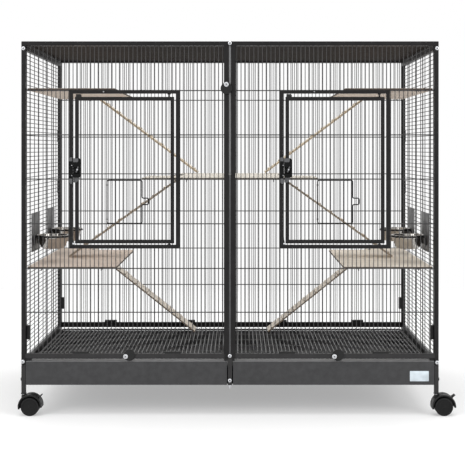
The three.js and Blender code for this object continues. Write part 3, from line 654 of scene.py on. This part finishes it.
# The middle base tubes take the painted-lighter copy of the frame coat.
make("base_middle_frame", b, LOW_STEEL_PAINTED_LIT, "cage", ["base_middle"])
# The upper joint strip is painted light grey: painted light from above.
b = Shape()
bar(b, "z", (662.2, 1017), (-3.1, 2.9), (-335.0, -328.0), 0.4, 1, 0.3)
make("joint_strip_upper", b, JOINT, "cage")
# The lower strips are painted a darker grey: less of the same painted light.
b = Shape()
bar(b, "z", (157, 661.8), (-3.1, 2.9), (-335.0, -328.0), 0.4, 1, 0.3)
bar(b, "z", (157, 1017), (-1.6, 1.6), (328.0, 335.0), 0.4, 1, 0.3)
make("joint_strips_lower", b, JOINT_LOW, "cage")
b = Shape()
slab(b, "y", rounded(-15.6, 12.0, 149.8, 156.2, 1.0, 3), (-337.3, -327.0), 0.7, 2)
make("joint_block", b, BLACK, "cage")

# ------------------------------------------------------------------- trays
for side, s, dx in SIDES:
    x0, x1 = (-562.4, -8.4) if s < 0 else (8.4, 562.4)
    t = Shape()
    # pressed face with a top fold and a rolled lower lip
    prof = [
        (-336.0, 86.6),
        (-336.0, 147.5),
        (-336.2, 147.7),
        (-337.3, 147.7),
        (-337.5, 147.5),
        (-337.5, 86.2),
        (-337.3, 84.4),
        (-336.4, 83.4),
        (-334.6, 83.5),
        (-334.6, 85.0),
        (-335.8, 85.2),
    ]
    t.add(*loft([[(x0, a, z) for a, z in prof], [(x1, a, z) for a, z in prof]]))
    make(f"tray_face_{side}", t, TRAY, f"tray_{side}", sharp=30)
    t = Shape()
    # pan: bottom and walls of thin sheet, painted lighter than the face for the light falling into it from above
    a0, a1 = x0 + 0.4, x1 - 0.4
    w = 1.2
    bar(t, "x", (a0, a1), (-335.9, 321.6), (86.0, 87.4), 0.4, 1, 0.2)
    bar(t, "y", (-335.9, 321.6), (a0, a0 + w), (86.2, 131.0), 0.3, 1, 0.2)
    bar(t, "y", (-335.9, 321.6), (a1 - w, a1), (86.2, 131.0), 0.3, 1, 0.2)
    bar(t, "x", (a0, a1), (320.4, 321.8), (86.2, 131.0), 0.3, 1, 0.2)
    make(f"tray_pan_{side}", t, PAN, f"tray_{side}", [f"tray_{side}"], 30)
    t = Shape()
    # The fold's upper face is painted light for the light it catches from above.
    fold = [(-336.9, 147.75), (-300.0, 147.75), (-300.0, 149.1), (-336.2, 149.1), (-337.2, 148.7), (-337.4, 148.0)]
    t.add(*loft([[(x0, a, z) for a, z in fold], [(x1, a, z) for a, z in fold]]))
    make(f"tray_lip_{side}", t, LIP, f"tray_{side}", sharp=30)
k = Shape()
slab(k, "y", rounded(495.4, 547.6, 93.6, 121.8, 1.2, 3), (-337.75, -337.45), 0.1, 1)
make("tray_sticker", k, STICKER, "tray_right")

# ------------------------------------------------------------ floor grille
for side, s, dx in SIDES:
    x0, x1 = (-561.5, -2.0) if s < 0 else (2.0, 561.5)
    g = Shape()
    path = [(x0 + 1.6, -322.5, 135.2), (x1 - 1.6, -322.5, 135.2), (x1 - 1.6, 322.5, 135.2), (x0 + 1.6, 322.5, 135.2)]
    sweep(g, fillet(path, 6, 4, closed=True), 1.7, 8, closed=True)
    for yy in (-214, -107, 0, 107, 214):
        wire(g, (x0 + 1.6, yy, 135.2), (x1 - 1.6, yy, 135.2), 1.7)
    x = x0 + 7.4
    while x < x1 - 3:
        wire(g, (x, -323.4, 138.0), (x, 323.4, 138.0), 1.5)
        x += PITCH
    q = Shape()
    bar(q, "x", (x0 + 4, x1 - 4), (322.6, 324.2), (131.4, 137.2), 0.4, 1, 0.3)
    make(f"floor_rim_{side}", q, STEEL, "cage")
    # The floor wires carry the painted-highlight grey.
    make(f"floor_wires_{side}", g, GRID, "cage", [f"floor_grille_{side}"], 60, False)

# ------------------------------------------------------------------- doors
DOOR_PHASE = {"left": 6.3, "right": 7.9}
for side, s, dx in SIDES:
    x0, x1, z0, z1 = LEAF[0] + dx, LEAF[1] + dx, LEAF[2], LEAF[3]
    hx0, hx1, hz0, hz1 = HATCH[0] + dx, HATCH[1] + dx, HATCH[2] + 1.6, HATCH[3] - 3.2
    body = f"door_{side}"
    d = Shape()
    YB = (-YO, -YO + 9)
    bar(d, "z", (z0, z1), (x0, x0 + 10), YB, 1.1)
    bar(d, "z", (z0, z1), (x1 - 10, x1), YB, 1.1)
    bar(d, "x", (x0 + 9.3, x1 - 9.3), YB, (z0, z0 + 10), 1.1)
    bar(d, "x", (x0 + 9.3, x1 - 9.3), YB, (z1 - 10, z1), 1.1)
    make(f"door_frame_{side}", d, STEEL, body, [f"door_{side}"])
    w = Shape()
    lo, hi = x0 + 10, x1 - 10
    for x in wires_between(lo, hi, DOOR_PHASE[side]):
        if hx0 + 2 < x < hx1 - 2:
            wire(w, (x, -333, z0 + 9), (x, -333, hz0 + 1.4))
            wire(w, (x, -333, hz1 - 1.4), (x, -333, z1 - 9))
        else:
            wire(w, (x, -333, z0 + 9), (x, -333, z1 - 9))
    for z in (526.9, 650.2, 772.2):
        wire(w, (lo - 1, -331.1, z), (hi + 1, -331.1, z), LEVEL_R)
    make(f"door_mesh_{side}", w, MESH, body, sharp=60, weighted=False)
    # hatch: bent outer wire with a finger loop, and the mesh in it
    h = Shape()
    body = f"hatch_{side}"
    path = [
        (hx0, HATCH_Y, hz0),
        (hx1, HATCH_Y, hz0),
        (hx1, HATCH_Y, 580.2),
        (hx1 + 18, HATCH_Y, 580.2),
        (hx1 + 18, HATCH_Y, 597.8),
        (hx1, HATCH_Y, 597.8),
        (hx1, HATCH_Y, hz1),
        (hx0, HATCH_Y, hz1),
    ]
    sweep(h, fillet(path, 4.5, 5, closed=True), 1.7, 10, closed=True)
    for x in wires_between(lo, hi, DOOR_PHASE[side]):
        if hx0 + 2 < x < hx1 - 2:
            wire(h, (x, HATCH_Y + 0.3, hz0), (x, HATCH_Y + 0.3, hz1), 1.0)
    make(f"hatch_wire_{side}", h, STEEL, body, [f"hatch_{side}"], 60, False)
    # sleeves that the hatch turns in
    k = Shape()
    for z in (540.0, 634.0):
        lathe(k, [(2.0, 0), (2.5, 0.2), (2.5, 3.8), (2.0, 4)], (hx0, HATCH_Y, z - 2), "z", 20, closed=True)
        slab(k, "z", rounded(hx0 - 1.2, hx0 + 1.2, -334.6, -333.0, 0.4, 2), (z - 1.6, z + 1.6), 0.3, 1)
    make(f"hatch_sleeves_{side}", k, MESH, f"door_{side}")

    # ---------------------------------------------------------------- latch
    # body: a rounded black housing with a slot, on a back plate; the grey of that plate and of the patch on the
    # housing's front is a painted highlight
    k = Shape()
    lx0, lx1 = -431.0 + dx, -409.7 + dx
    slab(k, "y", soft([(lx0, 655), (lx1, 655), (lx1, 666.5), (lx0, 666.5)], [1.5, 5, 0.6, 0.6], 5), (-349.6, -338.0), 1.2, 4)
    slab(k, "y", soft([(lx0, 681.5), (lx1, 681.5), (lx1, 708), (lx0, 708)], [0.6, 0.6, 7, 1.5], 5), (-349.6, -338.0), 1.2, 4)
    bar(k, "z", (665.5, 682.5), (-415.2 + dx, lx1 - 0.2), (-349.3, -338.2), 1.2)
    bar(k, "z", (665.5, 682.5), (lx0 + 0.3, -414.0 + dx), (-341.5, -338.3), 0.4)
    make(f"latch_housing_{side}", k, LATCH_BLACK, f"door_{side}", [f"latch_body_{side}"])
    k = Shape()
    slab(k, "y", soft([(lx0 + 0.4, 697), (lx0 + 13, 697), (lx0 + 15, 700), (lx0 + 15, 707.4), (lx0 + 0.4, 707.4)], [0.8, 2, 1, 3, 1], 4), (-350.6, -348.2), 0.8, 3)
    slab(k, "y", soft([(lx0 + 0.6, 641), (lx0 + 9, 641), (lx0 + 17, 650), (lx0 + 17, 657), (lx0 + 0.6, 657)], [1, 3, 2, 1, 1], 4), (-342.5, -338.2), 0.8, 3)
    make(f"latch_plates_{side}", k, LATCH, f"door_{side}")
    # bolt with its thumb knob
    k = Shape()
    bar(k, "x", (-430.5 + dx, -416.2 + dx), (-348.0, -342.0), (667.2, 680.8), 1.2)
    make(f"latch_bar_{side}", k, LATCH_BLACK, f"latch_bolt_{side}", [f"latch_bolt_{side}"])
    k = Shape()
    lathe(k, [(0, 0.6), (2.2, 0.6), (2.4, -0.5), (2.4, -2.8), (1.9, -3.4), (0, -3.6)], (-419.0 + dx, -348.2, 676.6), "y", 24)
    make(f"latch_knob_{side}", k, ZINC, f"latch_bolt_{side}")
    # thumb lever held by the knob; its grey is a painted highlight
    k = Shape()
    slab(k, "y", soft([(lx0 + 10.4, 668.5), (lx0 + 16.4, 684.4), (lx0 + 13.4, 685.8), (lx0 + 7.4, 669.9)], 0.8, 3), (-351.3, -349.9), 0.5, 2)
    make(f"latch_lever_{side}", k, LATCH, f"latch_bolt_{side}")
    # keeper on the surround with two bright screws
    k = Shape()
    slab(k, "y", soft([(-443 + dx, 640), (-436.2 + dx, 634.5), (-432 + dx, 636), (-432 + dx, 666.5), (-443 + dx, 666.5)], [2, 2.5, 1, 0.5, 0.5], 4), (-349.4, -337.7), 1.0, 4)
    slab(k, "y", soft([(-443 + dx, 681.5), (-432 + dx, 681.5), (-432 + dx, 711), (-443 + dx, 711.5)], [0.5, 0.5, 1, 3], 4), (-349.4, -337.7), 1.0, 4)
    bar(k, "z", (665.5, 682.5), (-442.8 + dx, -441.1 + dx), (-349.2, -337.9), 0.4)
    bar(k, "z", (665.5, 682.5), (-442.0 + dx, -432.2 + dx), (-341.4, -337.9), 0.4)
    bar(k, "z", (665.5, 682.5), (-442.0 + dx, -432.2 + dx), (-349.2, -348.5), 0.2)
    make(f"latch_catch_{side}", k, LATCH_BLACK, "cage", [f"latch_keeper_{side}"])
    # The grey keeper plates are painted highlights on the black catch.
    k = Shape()
    slab(k, "y", soft([(-442.4 + dx, 699.6), (-433.0 + dx, 699.6), (-433.0 + dx, 710.2), (-442.4 + dx, 710.6)], [1, 1, 1, 3], 4), (-350.2, -348.8), 0.5, 2)
    slab(k, "y", soft([(-441.6 + dx, 641.2), (-436.6 + dx, 636.6), (-433.0 + dx, 638), (-433.0 + dx, 652), (-441.6 + dx, 652)], [2, 2, 1, 1, 1], 4), (-350.2, -348.8), 0.5, 2)
    make(f"keeper_plates_{side}", k, LATCH, "cage")
    k = Shape()
    for z in (688.3, 660.6):
        lathe(k, [(0, -1.5), (1.1, -1.3), (1.6, -0.7), (1.8, 0), (1.8, 0.6)], (-434.1 + dx, -349.3, z), "y", 24)
    make(f"keeper_screws_{side}", k, ZINC, "cage")
    # corner lugs
    k = Shape()
    slab(k, "y", soft([(-440.5 + dx, 466.5), (-428.0 + dx, 466.5), (-428.0 + dx, 472.5), (-432.6 + dx, 490.5), (-440.5 + dx, 490.5)], 1.2, 3), (-341.2, -337.6), 0.9, 3)
    make(f"surround_lug_{side}", k, BLACK, "cage")
    k = Shape()
    lathe(k, [(0, -1.6), (1.6, -1.4), (2.5, -0.7), (2.7, 0), (2.7, 0.5)], (-431.0 + dx, -341.2, 472.6), "y", 20)
    lathe(k, [(0, -1.2), (1.4, -1.0), (1.9, 0), (1.9, 0.5)], (-348.0 + dx, -337.6, 891.0), "y", 20)
    make(f"surround_rivets_{side}", k, ZINC, "cage")
    k = Shape()
    slab(k, "y", soft([(-424.5 + dx, 876.6), (-409.5 + dx, 876.6), (-409.5 + dx, 881.5), (-412.5 + dx, 884.6), (-424.5 + dx, 884.6)], 1.0, 3), (-336.6, -329.0), 0.8, 3)
    make(f"door_lug_{side}", k, BLACK, f"door_{side}")

# ------------------------------------------------------------ turn buttons
for name, x, z, lean in (
    ("tray_left", -287.2, 162.8, 108),
    ("tray_right", 287.2, 162.8, 108),
    ("top", -10.0, 911.0, 0),
):
    a = math.radians(lean)
    cx, cz = x + 11 * math.sin(a), z - 11 * math.cos(a)
    k = Shape()
    lathe(
        k,
        [(0, 0), (15.2, 0), (15.8, -0.5), (16.0, -1.2), (16.0, -3.6), (15.6, -4.5), (14.6, -5.0), (0, -5.1)],
        (cx, -338.1, cz),
        "y",
        64,
    )
    make(f"turn_disc_{name}", k, BLACK, f"turn_button_{name}", [f"turn_button_{name}"])
    k = Shape()
    lathe(k, [(0, 0), (6.2, 0), (6.4, -0.3), (6.4, -0.9), (6.0, -1.2), (4.4, -1.3), (4.3, -2.2), (3.6, -2.9), (1.9, -3.1), (1.7, -2.2), (0, -2.2)], (x, -343.3, z), "y", 40)
    make(f"button_head_{name}", k, ZINC, "cage", [f"button_screw_{name}"])
    k = Shape()
    # dark hex disc: painted shade for the socket recess
    lathe(k, [(0, 0), (1.75, 0), (1.75, -0.35), (0, -0.35)], (x, -345.5, z), "y", 6)
    make(f"button_socket_{name}", k, SOCKET_PAINTED_SHADE, "cage")


# ---------------------------------------------------------------- shelves
def flip(points, s):
    return points if s < 0 else [(-x, y) for x, y in reversed(points)]


def board(name, outline, z, material, r=0.9):
    k = Shape()
    slab(k, "z", soft(outline, 5.0, 4), (z, z + 6), r, 3)
    return make(f"{name}_board", k, material, "cage", [name])


for side, s, dx in SIDES:
    up = [(-561, -323), (-319, -323), (-319, 222.5), (-438.5, 222.5), (-438.5, 280), (-561, 280)]
    low = [(-561, -323), (-315, -323), (-315, 222.5), (-451.5, 222.5), (-451.5, 280), (-561, 280)]
    board(f"shelf_upper_{side}", flip(up, s), 895.5, BOARD)
    board(f"shelf_lower_{side}", flip(low, s), 401.5, BOARD_LL if s < 0 else BOARD_LR)
tee = [(-245, -315.5), (245, -315.5), (245, -57.5), (165, -57.5), (165, 280), (-165, 280), (-165, -57.5), (-245, -57.5)]
board("shelf_middle", tee, 647.5, BOARD_MID)

# bent wire hooks that carry the shelves on the level wires
for side, s, dx in SIDES:
    k = Shape()
    for z, fronts, backs in ((895.5, (520, 360), (540, 470)), (401.5, (520, 355), (540, 475))):
        for x in fronts:
            xx = s * x
            sweep(k, fillet([(xx, -300, z - 1.4), (xx, -328.6, z - 1.4), (xx, -334.4, z + 2.4), (xx, -334.4, z - 4.0)], 2.0, 4), 1.1, 8)
        for x in backs:
            xx = s * x
            sweep(k, fillet([(xx, 262, z - 1.4), (xx, 328.6, z - 1.4), (xx, 334.4, z + 2.4), (xx, 334.4, z - 4.0)], 2.0, 4), 1.1, 8)
    make(f"shelf_hooks_{side}", k, MESH, "cage", sharp=60, weighted=False)
k = Shape()
for x in (-120, 120):
    z = 647.5
    sweep(k, fillet([(x, -296, z - 1.4), (x, -328.6, z - 1.4), (x, -334.4, z + 1.6), (x, -334.4, z - 5.0)], 2.0, 4), 1.1, 8)
    sweep(k, fillet([(x, 262, z - 1.4), (x, 328.6, z - 1.4), (x, 334.4, z + 1.6), (x, 334.4, z - 5.0)], 2.0, 4), 1.1, 8)
make("shelf_hooks_middle", k, MESH, "cage", sharp=60, weighted=False)


# ---------------------------------------------------------------- ladders
def ladder(name, s, top, foot, Y, material, t=3.0):
    """A thin board with half-round rungs across its upper face."""
    tx, tz = s * top[0], top[1]
    fx, fz = s * foot[0], foot[1]
    L = math.hypot(fx - tx, fz - tz)
    u = ((fx - tx) / L, (fz - tz) / L)
    n = (-u[1], u[0])
    if n[1] < 0:
        n = (-n[0], -n[1])

    def P(a, b):
        return (tx + u[0] * a + n[0] * b, tz + u[1] * a + n[1] * b)

    k = Shape()
    outline = [P(-1.6, -2.9), P(L, -2.9), P(L, t), P(-1.6, t)]
    slab(k, "y", soft(outline, [1.4, 0.8, 0.8, 1.4], 3), Y, 0.7, 2)
    for i in range(1, 10):
        c = L * (i - 0.2) / 9.2
        half = [P(c + 2.6 * math.cos(math.radians(q)), t + 2.7 * math.sin(math.radians(q))) for q in range(0, 181, 20)]
        half = [P(c + 2.6, t - 0.6)] + half + [P(c - 2.6, t - 0.6)]
        slab(k, "y", half, (Y[0] + 4, Y[1] - 4), 0.5, 2)
    make(f"{name}_boards", k, material, name, [name], 32)
    # wire eyes at the top end
    h = Shape()
    for yy in (Y[0] + 14, Y[1] - 14):
        lathe(h, [(3.0 + 0.9 * math.cos(math.radians(q)), 0.9 * math.sin(math.radians(q))) for q in range(0, 360, 60)], (tx, yy, tz), "y", 20, closed=True)
    make(f"{name}_eyes", h, MESH, name, sharp=60, weighted=False)
    if "middle" in name:
        # two wires go up from the eyes and over the shelf's edge
        h = Shape()
        for yy in (Y[0] + 14, Y[1] - 14):
            up = [(tx - s * 0.6, yy, tz + 3.4), (tx - s * 0.6, yy, 654.8), (tx - s * 26, yy, 654.8)]
            sweep(h, fillet(up, 3.0, 5), 1.0, 8)
        make(f"{name}_hooks", h, MESH, "cage", sharp=60, weighted=False)


def sit(angle):
    return 3 * math.cos(angle) + 0.9


for side, s, dx in SIDES:
    ladder(f"ramp_upper_{side}", s, (433, 898.5), (109, 653.5 + sit(0.64)), (225, 318), RUNG_UP)
    ladder(f"ramp_middle_{side}", s, (170.5, 634), (484, 407.5 + sit(0.62)), (-54, 36), RUNG_MID)
    ladder(f"ramp_lower_{side}", s, (446, 404.5), (118, 139.5 + sit(0.67)), (225, 318), RUNG_LOW, 1.6)

# ------------------------------------------------------- bowls and holders
for side, s, dx in SIDES:
    for fr, y in (("front", -187.5), ("rear", 88.0)):
        cx = s * 511.0
        name = f"{fr}_{side}"
        k = Shape()
        # plate with two raised ribs, folded rims top and bottom
        slab(k, "x", rounded(y - 67, y + 67, 442, 551, 2.0, 4), (s * 561.8, s * 560.2), 0.5, 2)
        for y0 in (y - 20.5, y + 20.5):
            slab(k, "x", rounded(y0 - 3.2, y0 + 3.2, 468, 526, 3.1, 6), (s * 560.4, s * 559.2), 0.5, 2)
        bar(k, "y", (y - 66, y + 66), (s * 561.5, s * 557.6), (549.4, 551), 0.4, 1, 0.3)
        bar(k, "y", (y - 66, y + 66), (s * 561.5, s * 557.6), (442, 443.6), 0.4, 1, 0.3)
        make(f"holder_plate_{name}", k, PLATE, "cage", [f"bowl_holder_{name}"])
        k = Shape()
        ring = [(cx + 47.6 * math.cos(2 * math.pi * i / 56), y + 47.6 * math.sin(2 * math.pi * i / 56), 482.0) for i in range(56)]
        sweep(k, ring, 2.0, 10, closed=True)
        for yy in (-31, 31):
            pts = [(s * 558.8, y + yy, 458), (s * 556.4, y + yy, 482.0), (s * (511 + 35), y + yy, 482.0)]
            sweep(k, fillet(pts, 5, 5), 2.0, 10)
        make(f"holder_ring_{name}", k, STEEL, "cage", sharp=60, weighted=False)
        k = Shape()
        prof = [
            (0, 448.9),
            (20, 448.9),
            (29, 449.3),
            (32.0, 450.6),
            (34.0, 453.4),
            (43.4, 476.5),
            (44.2, 481.5),
            (44.6, 485.6),
            (45.6, 486.6),
            (46.8, 486.7),
            (47.5, 486.0),
            (47.4, 485.2),
            (46.6, 484.9),
            (45.7, 485.1),
            (45.2, 482.0),
            (44.4, 476.2),
            (34.8, 452.6),
            (32.8, 449.2),
            (29.2, 447.6),
            (20, 447.5),
            (0, 447.5),
        ]
        lathe(k, [(r, h) for r, h in prof], (cx, y, 0), "z", 72)
        make(f"bowl_shell_{name}", k, BOWL, f"bowl_{name}", [f"bowl_{name}"], 50)

# ---------------------------------------------------------------- casters
for fr, fy in (("front", -1), ("rear", 1)):
    for side, s, dx in SIDES:
        name = f"{fr}_{side}"
        sx, sy = s * 569.0, fy * 331.5
        t = 1 if fr == "front" else -1
        wx = sx + t * 19

        def C(points):
            pts = [(sx + t * x, z) for x, z in points]
            return pts if t > 0 else list(reversed(pts))

        def arc(r, a0, a1, n, cx=19.0, cz=26.2):
            return [
                (cx + r * math.cos(a0 + (a1 - a0) * i / n), cz + r * math.sin(a0 + (a1 - a0) * i / n))
                for i in range(n + 1)
            ]

        body = f"caster_{name}"
        k = Shape()
        # hood: a curved shell over both wheels, lower at the front
        a0, a1 = -0.10, math.pi + 0.24
        slab(k, "y", C(arc(32.6, a0, a1, 40) + arc(28.6, a1, a0, 40)), (sy - 20.5, sy + 20.5), 1.4, 3)
        # web between the wheels
        slab(k, "y", C(arc(30.4, 0.1, math.pi + 0.1, 30) + [(-3, 18), (6, 13.5), (24, 13), (40, 18)]), (sy - 5.4, sy + 5.4), 0.8, 2)
        # boss over the stem
        lathe(k, [(0, 0), (6.4, 0), (6.8, 6), (6.6, 18), (5.6, 21.6), (0, 21.8)], (sx, sy, 35.0), "z", 36)
        # raised rib along the hood's crown
        slab(k, "y", C(arc(33.3, 0.95, 2.2, 20) + arc(31.6, 2.2, 0.95, 20)), (sy - 3.0, sy + 3.0), 0.5, 2)
        make(f"caster_hood_{name}", k, BLACK, body, [f"caster_fork_{name}"], 34)
        k = Shape()
        lathe(k, [(0, 0), (4.0, 0), (4.0, 38), (3.4, 40), (0, 40.4)], (sx, sy, 56.8), "z", 24)
        lathe(k, [(4.0, 0), (5.6, 0), (5.6, 0.9), (4.0, 0.9)], (sx, sy, 56.95), "z", 32, closed=True)
        make(f"caster_stem_{name}", k, ZINC, body)
        # wheels: tread with a rounded shoulder and a dished hub
        k = Shape()
        h = Shape()
        for q in (-1, 1):
            tread = [
                (21.0, 7.0),
                (23.6, 6.6),
                (24.6, 7.4),
                (25.0, 8.8),
                (25.0, 16.6),
                (24.5, 18.2),
                (23.2, 19.2),
                (21.0, 19.4),
            ]
            lathe(k, [(r, q * d) for r, d in tread], (wx, sy, 25.0), "y", 72, closed=True)
            hub = [(0, 7.0), (21.2, 7.0), (21.2, 18.9), (20.2, 19.1), (19.4, 18.2), (18.6, 17.9), (6.4, 18.3), (5.4, 18.9), (0, 19.1)]
            lathe(h, [(r, q * d) for r, d in hub], (wx, sy, 25.0), "y", 72)
        lathe(h, [(0, -7.2), (3.0, -7.2), (3.0, 7.2), (0, 7.2)], (wx, sy, 25.0), "y", 20)
        make(f"caster_tread_{name}", k, RUBBER, f"wheels_{name}", [f"caster_wheels_{name}"], 34)
        make(f"caster_hub_{name}", h, SATIN, f"wheels_{name}", sharp=30)
        if fr == "front":
            lx = 19 + 32.6 * math.cos(0.785)
            lz = 26.2 + 32.6 * math.sin(0.785)
            k = Shape()
            lathe(k, [(0, -8.6), (2.3, -8.6), (2.6, -8.2), (2.6, 8.2), (2.3, 8.6), (0, 8.6)], (sx + lx, sy, lz), "y", 24)
            tip = [(lx - 1.4, lz + 1.6), (lx + 0.6, lz - 1.4), (lx + 5.6, lz + 2.2), (lx + 9.4, lz + 5.9), (lx + 9.4, lz + 7.8), (lx + 6.6, lz + 7.3)]
            slab(k, "y", C(soft(tip, [0.8, 0.8, 1.5, 0.8, 0.8, 2], 3)), (sy - 8.3, sy + 8.3), 0.7, 3)
            make(f"brake_pedal_{name}", k, BLACK, f"brake_{name}", [f"brake_lever_{name}"])

# ------------------------------------------------- panel screws and clips
bright = Shape()
dark = Shape()


def screw_front(x, z, r=5.5, proud=2.6, y=-337.5):
    lathe(
        bright,
        [(0, -proud + 0.6), (1.9, -proud + 0.6), (2.1, -proud), (r * 0.62, -proud * 0.96), (r * 0.88, -proud * 0.7), (r, -proud * 0.25), (r, 0.3), (0, 0.3)],
        (x, y, z),
        "y",
        36,
    )
    # dark hex disc: painted shade for the socket recess
    lathe(dark, [(0, 0), (1.9, 0), (1.9, -0.25), (0, -0.25)], (x, y - proud + 0.55, z), "y", 6)


for x, z in (
    (-569.4, 1010.6),
    (570.3, 1010.6),
    (-570.6, 147.4),
    (570.4, 145.2),
    (-0.3, 1024.6),
    (-0.6, 163.4),
    (-0.6, 95.8),
):
    screw_front(x, z)
# the lower middle bolt's threaded end, below the tray line
lathe(bright, [(0, 0), (2.2, 0), (2.6, 0.6), (2.6, 6.0), (5.4, 6.2), (6.0, 7.0), (6.0, 9.4), (4.6, 10.4), (0, 10.4)], (-0.6, -331.5, 73.2), "z", 24)
for x, z in ((-570.3, 1010.6), (570.3, 1010.6), (-570.6, 147.4), (570.4, 147.4), (0, 1024.6), (0, 148.6), (0, 95.8)):
    lathe(bright, [(0, 2.4), (3.9, 2.6), (5.5, 1.8), (6.3, 0.6), (6.3, -0.3), (0, -0.3)], (x, 337.5, z), "y", 36)
make("panel_screws", bright, ZINC, "cage")
make("panel_screw_sockets", dark, SOCKET_PAINTED_SHADE, "cage")
k = Shape()
for s in (-1, 1):
    for y in (-331.5, 331.5):
        lathe(k, [(0, s * 2.4), (3.2, s * 2.1), (4.6, s * 1.2), (5.0, 0), (5.0, -s * 0.4), (0, -s * 0.4)], (s * 575, y, 98.6), "x", 32)
make("leg_side_screws", k, STEEL, "cage")

clips = Shape()


def clip_x(x, y, z, length=42, up=1):
    """A spring clip lying along a level rail, hooked over it."""
    slab(clips, "x", soft([(y - 6.6, z - 6 * up), (y + 6.6, z - 6 * up), (y + 6.6, z + 6.6 * up), (y - 6.6, z + 6.6 * up)], 1.6, 3), (x - length / 2, x + length / 2), 1.0, 2)


def clip_z(x, y, z, length=42, out=1, sx=6.5, sy=6.5):
    slab(clips, "z", soft([(x - sx, y - sy), (x + sx, y - sy), (x + sx, y + sy), (x - sx, y + sy)], 2.0, 3), (z - length / 2, z + length / 2), 1.2, 2)


# rear rail, rear posts, front rail, front posts and outer sides
for x in (-401, -141, 163, 417):
    clip_x(x, 331.0, 158.4, 40)
for x in (-413, -158, 157, 416):
    clip_x(x, -330.2, 168.6, 44)
for s in (-1, 1):
    clip_z(s * 562.0, 318.6, 223, 38, sx=8.8, sy=6.0)
    clip_z(s * 559.2, -319.0, 226, 39, sx=4.6, sy=5.4)
    clip_z(s * 575.0, -319.0, 776, 40, sx=1.6, sy=5.4)
    clip_z(s * 575.0, -319.0, 608, 44, sx=1.6, sy=5.4)
    clip_z(s * 575.0, 319.0, 776, 40, sx=1.6, sy=5.4)
    clip_z(s * 575.0, 319.0, 608, 44, sx=1.6, sy=5.4)
# stops at both ends of each tray's slit
for a, b in ((-562, -547), (-16.5, -8.5), (8.5, 13), (550, 562)):
    slab(clips, "x", rounded(-334.5, -327, 150.0, 155.6, 0.8, 2), (a, b), 0.5, 2)
make("spring_clips", clips, BLACK, "cage")


# ------------------------------------------------------------------- stage
def stage_material(name, colour, rough, emit=0.0):
    m, t, bsdf = new_material(name)
    bsdf.inputs["Base Color"].default_value = (*colour, 1)
    bsdf.inputs["Roughness"].default_value = rough
    bsdf.inputs["Specular IOR Level"].default_value = 0.1
    if emit:
        bsdf.inputs["Emission Color"].default_value = (1, 1, 1, 1)
        bsdf.inputs["Emission Strength"].default_value = emit
    return m


me = bpy.data.meshes.new("floor")
R = 4.0
me.from_pydata([(-R, -R, 0), (R, -R, 0), (R, 2.5, 0), (-R, 2.5, 0)], [], [(0, 1, 2, 3)])
floor = bpy.data.objects.new("floor", me)
me.materials.append(stage_material("studio_floor", (0.55, 0.55, 0.55), 0.9, 0.335))
bpy.context.scene.collection.objects.link(floor)


def light(name, place, target, size, power, colour=(1, 1, 1)):
    data = bpy.data.lights.new(name, "AREA")
    data.shape = "RECTANGLE"
    data.size, data.size_y = size
    data.energy = power
    data.color = colour
    o = bpy.data.objects.new(name, data)
    o.location = place
    o.rotation_euler = (Vector(target) - Vector(place)).to_track_quat("-Z", "Y").to_euler()
    bpy.context.scene.collection.objects.link(o)
    return o


light("top_softbox", (0.1, -0.2, 3.4), (0, 0, 0.5), (3.4, 2.6), 70)
light("key_left", (-2.6, -3.4, 2.2), (0, 0, 0.5), (1.8, 2.2), 45)
light("fill_right", (3.0, -3.0, 1.6), (0, 0, 0.5), (1.8, 2.2), 45)

world = bpy.data.worlds.new("studio")
world.use_nodes = True
bpy.context.scene.world = world
bg = world.node_tree.nodes["Background"]
bg.inputs[0].default_value = (1, 1, 1, 1)
bg.inputs[1].default_value = 1.0

scene = bpy.context.scene
scene.view_settings.view_transform = "Standard"
scene.view_settings.look = "None"

cam_data = bpy.data.cameras.new("camera")
cam_data.sensor_width = 36
cam_data.lens = 91.14
cam_data.shift_x = -6.5 / 465
cam_data.shift_y = -84.5 / 465
cam_data.clip_end = 100
cam = bpy.data.objects.new("camera", cam_data)
cam.location = (0.0248, -0.3375 - 3.242, 0.736)
cam.rotation_euler = (math.radians(90), 0, 0)
scene.collection.objects.link(cam)
scene.camera = cam
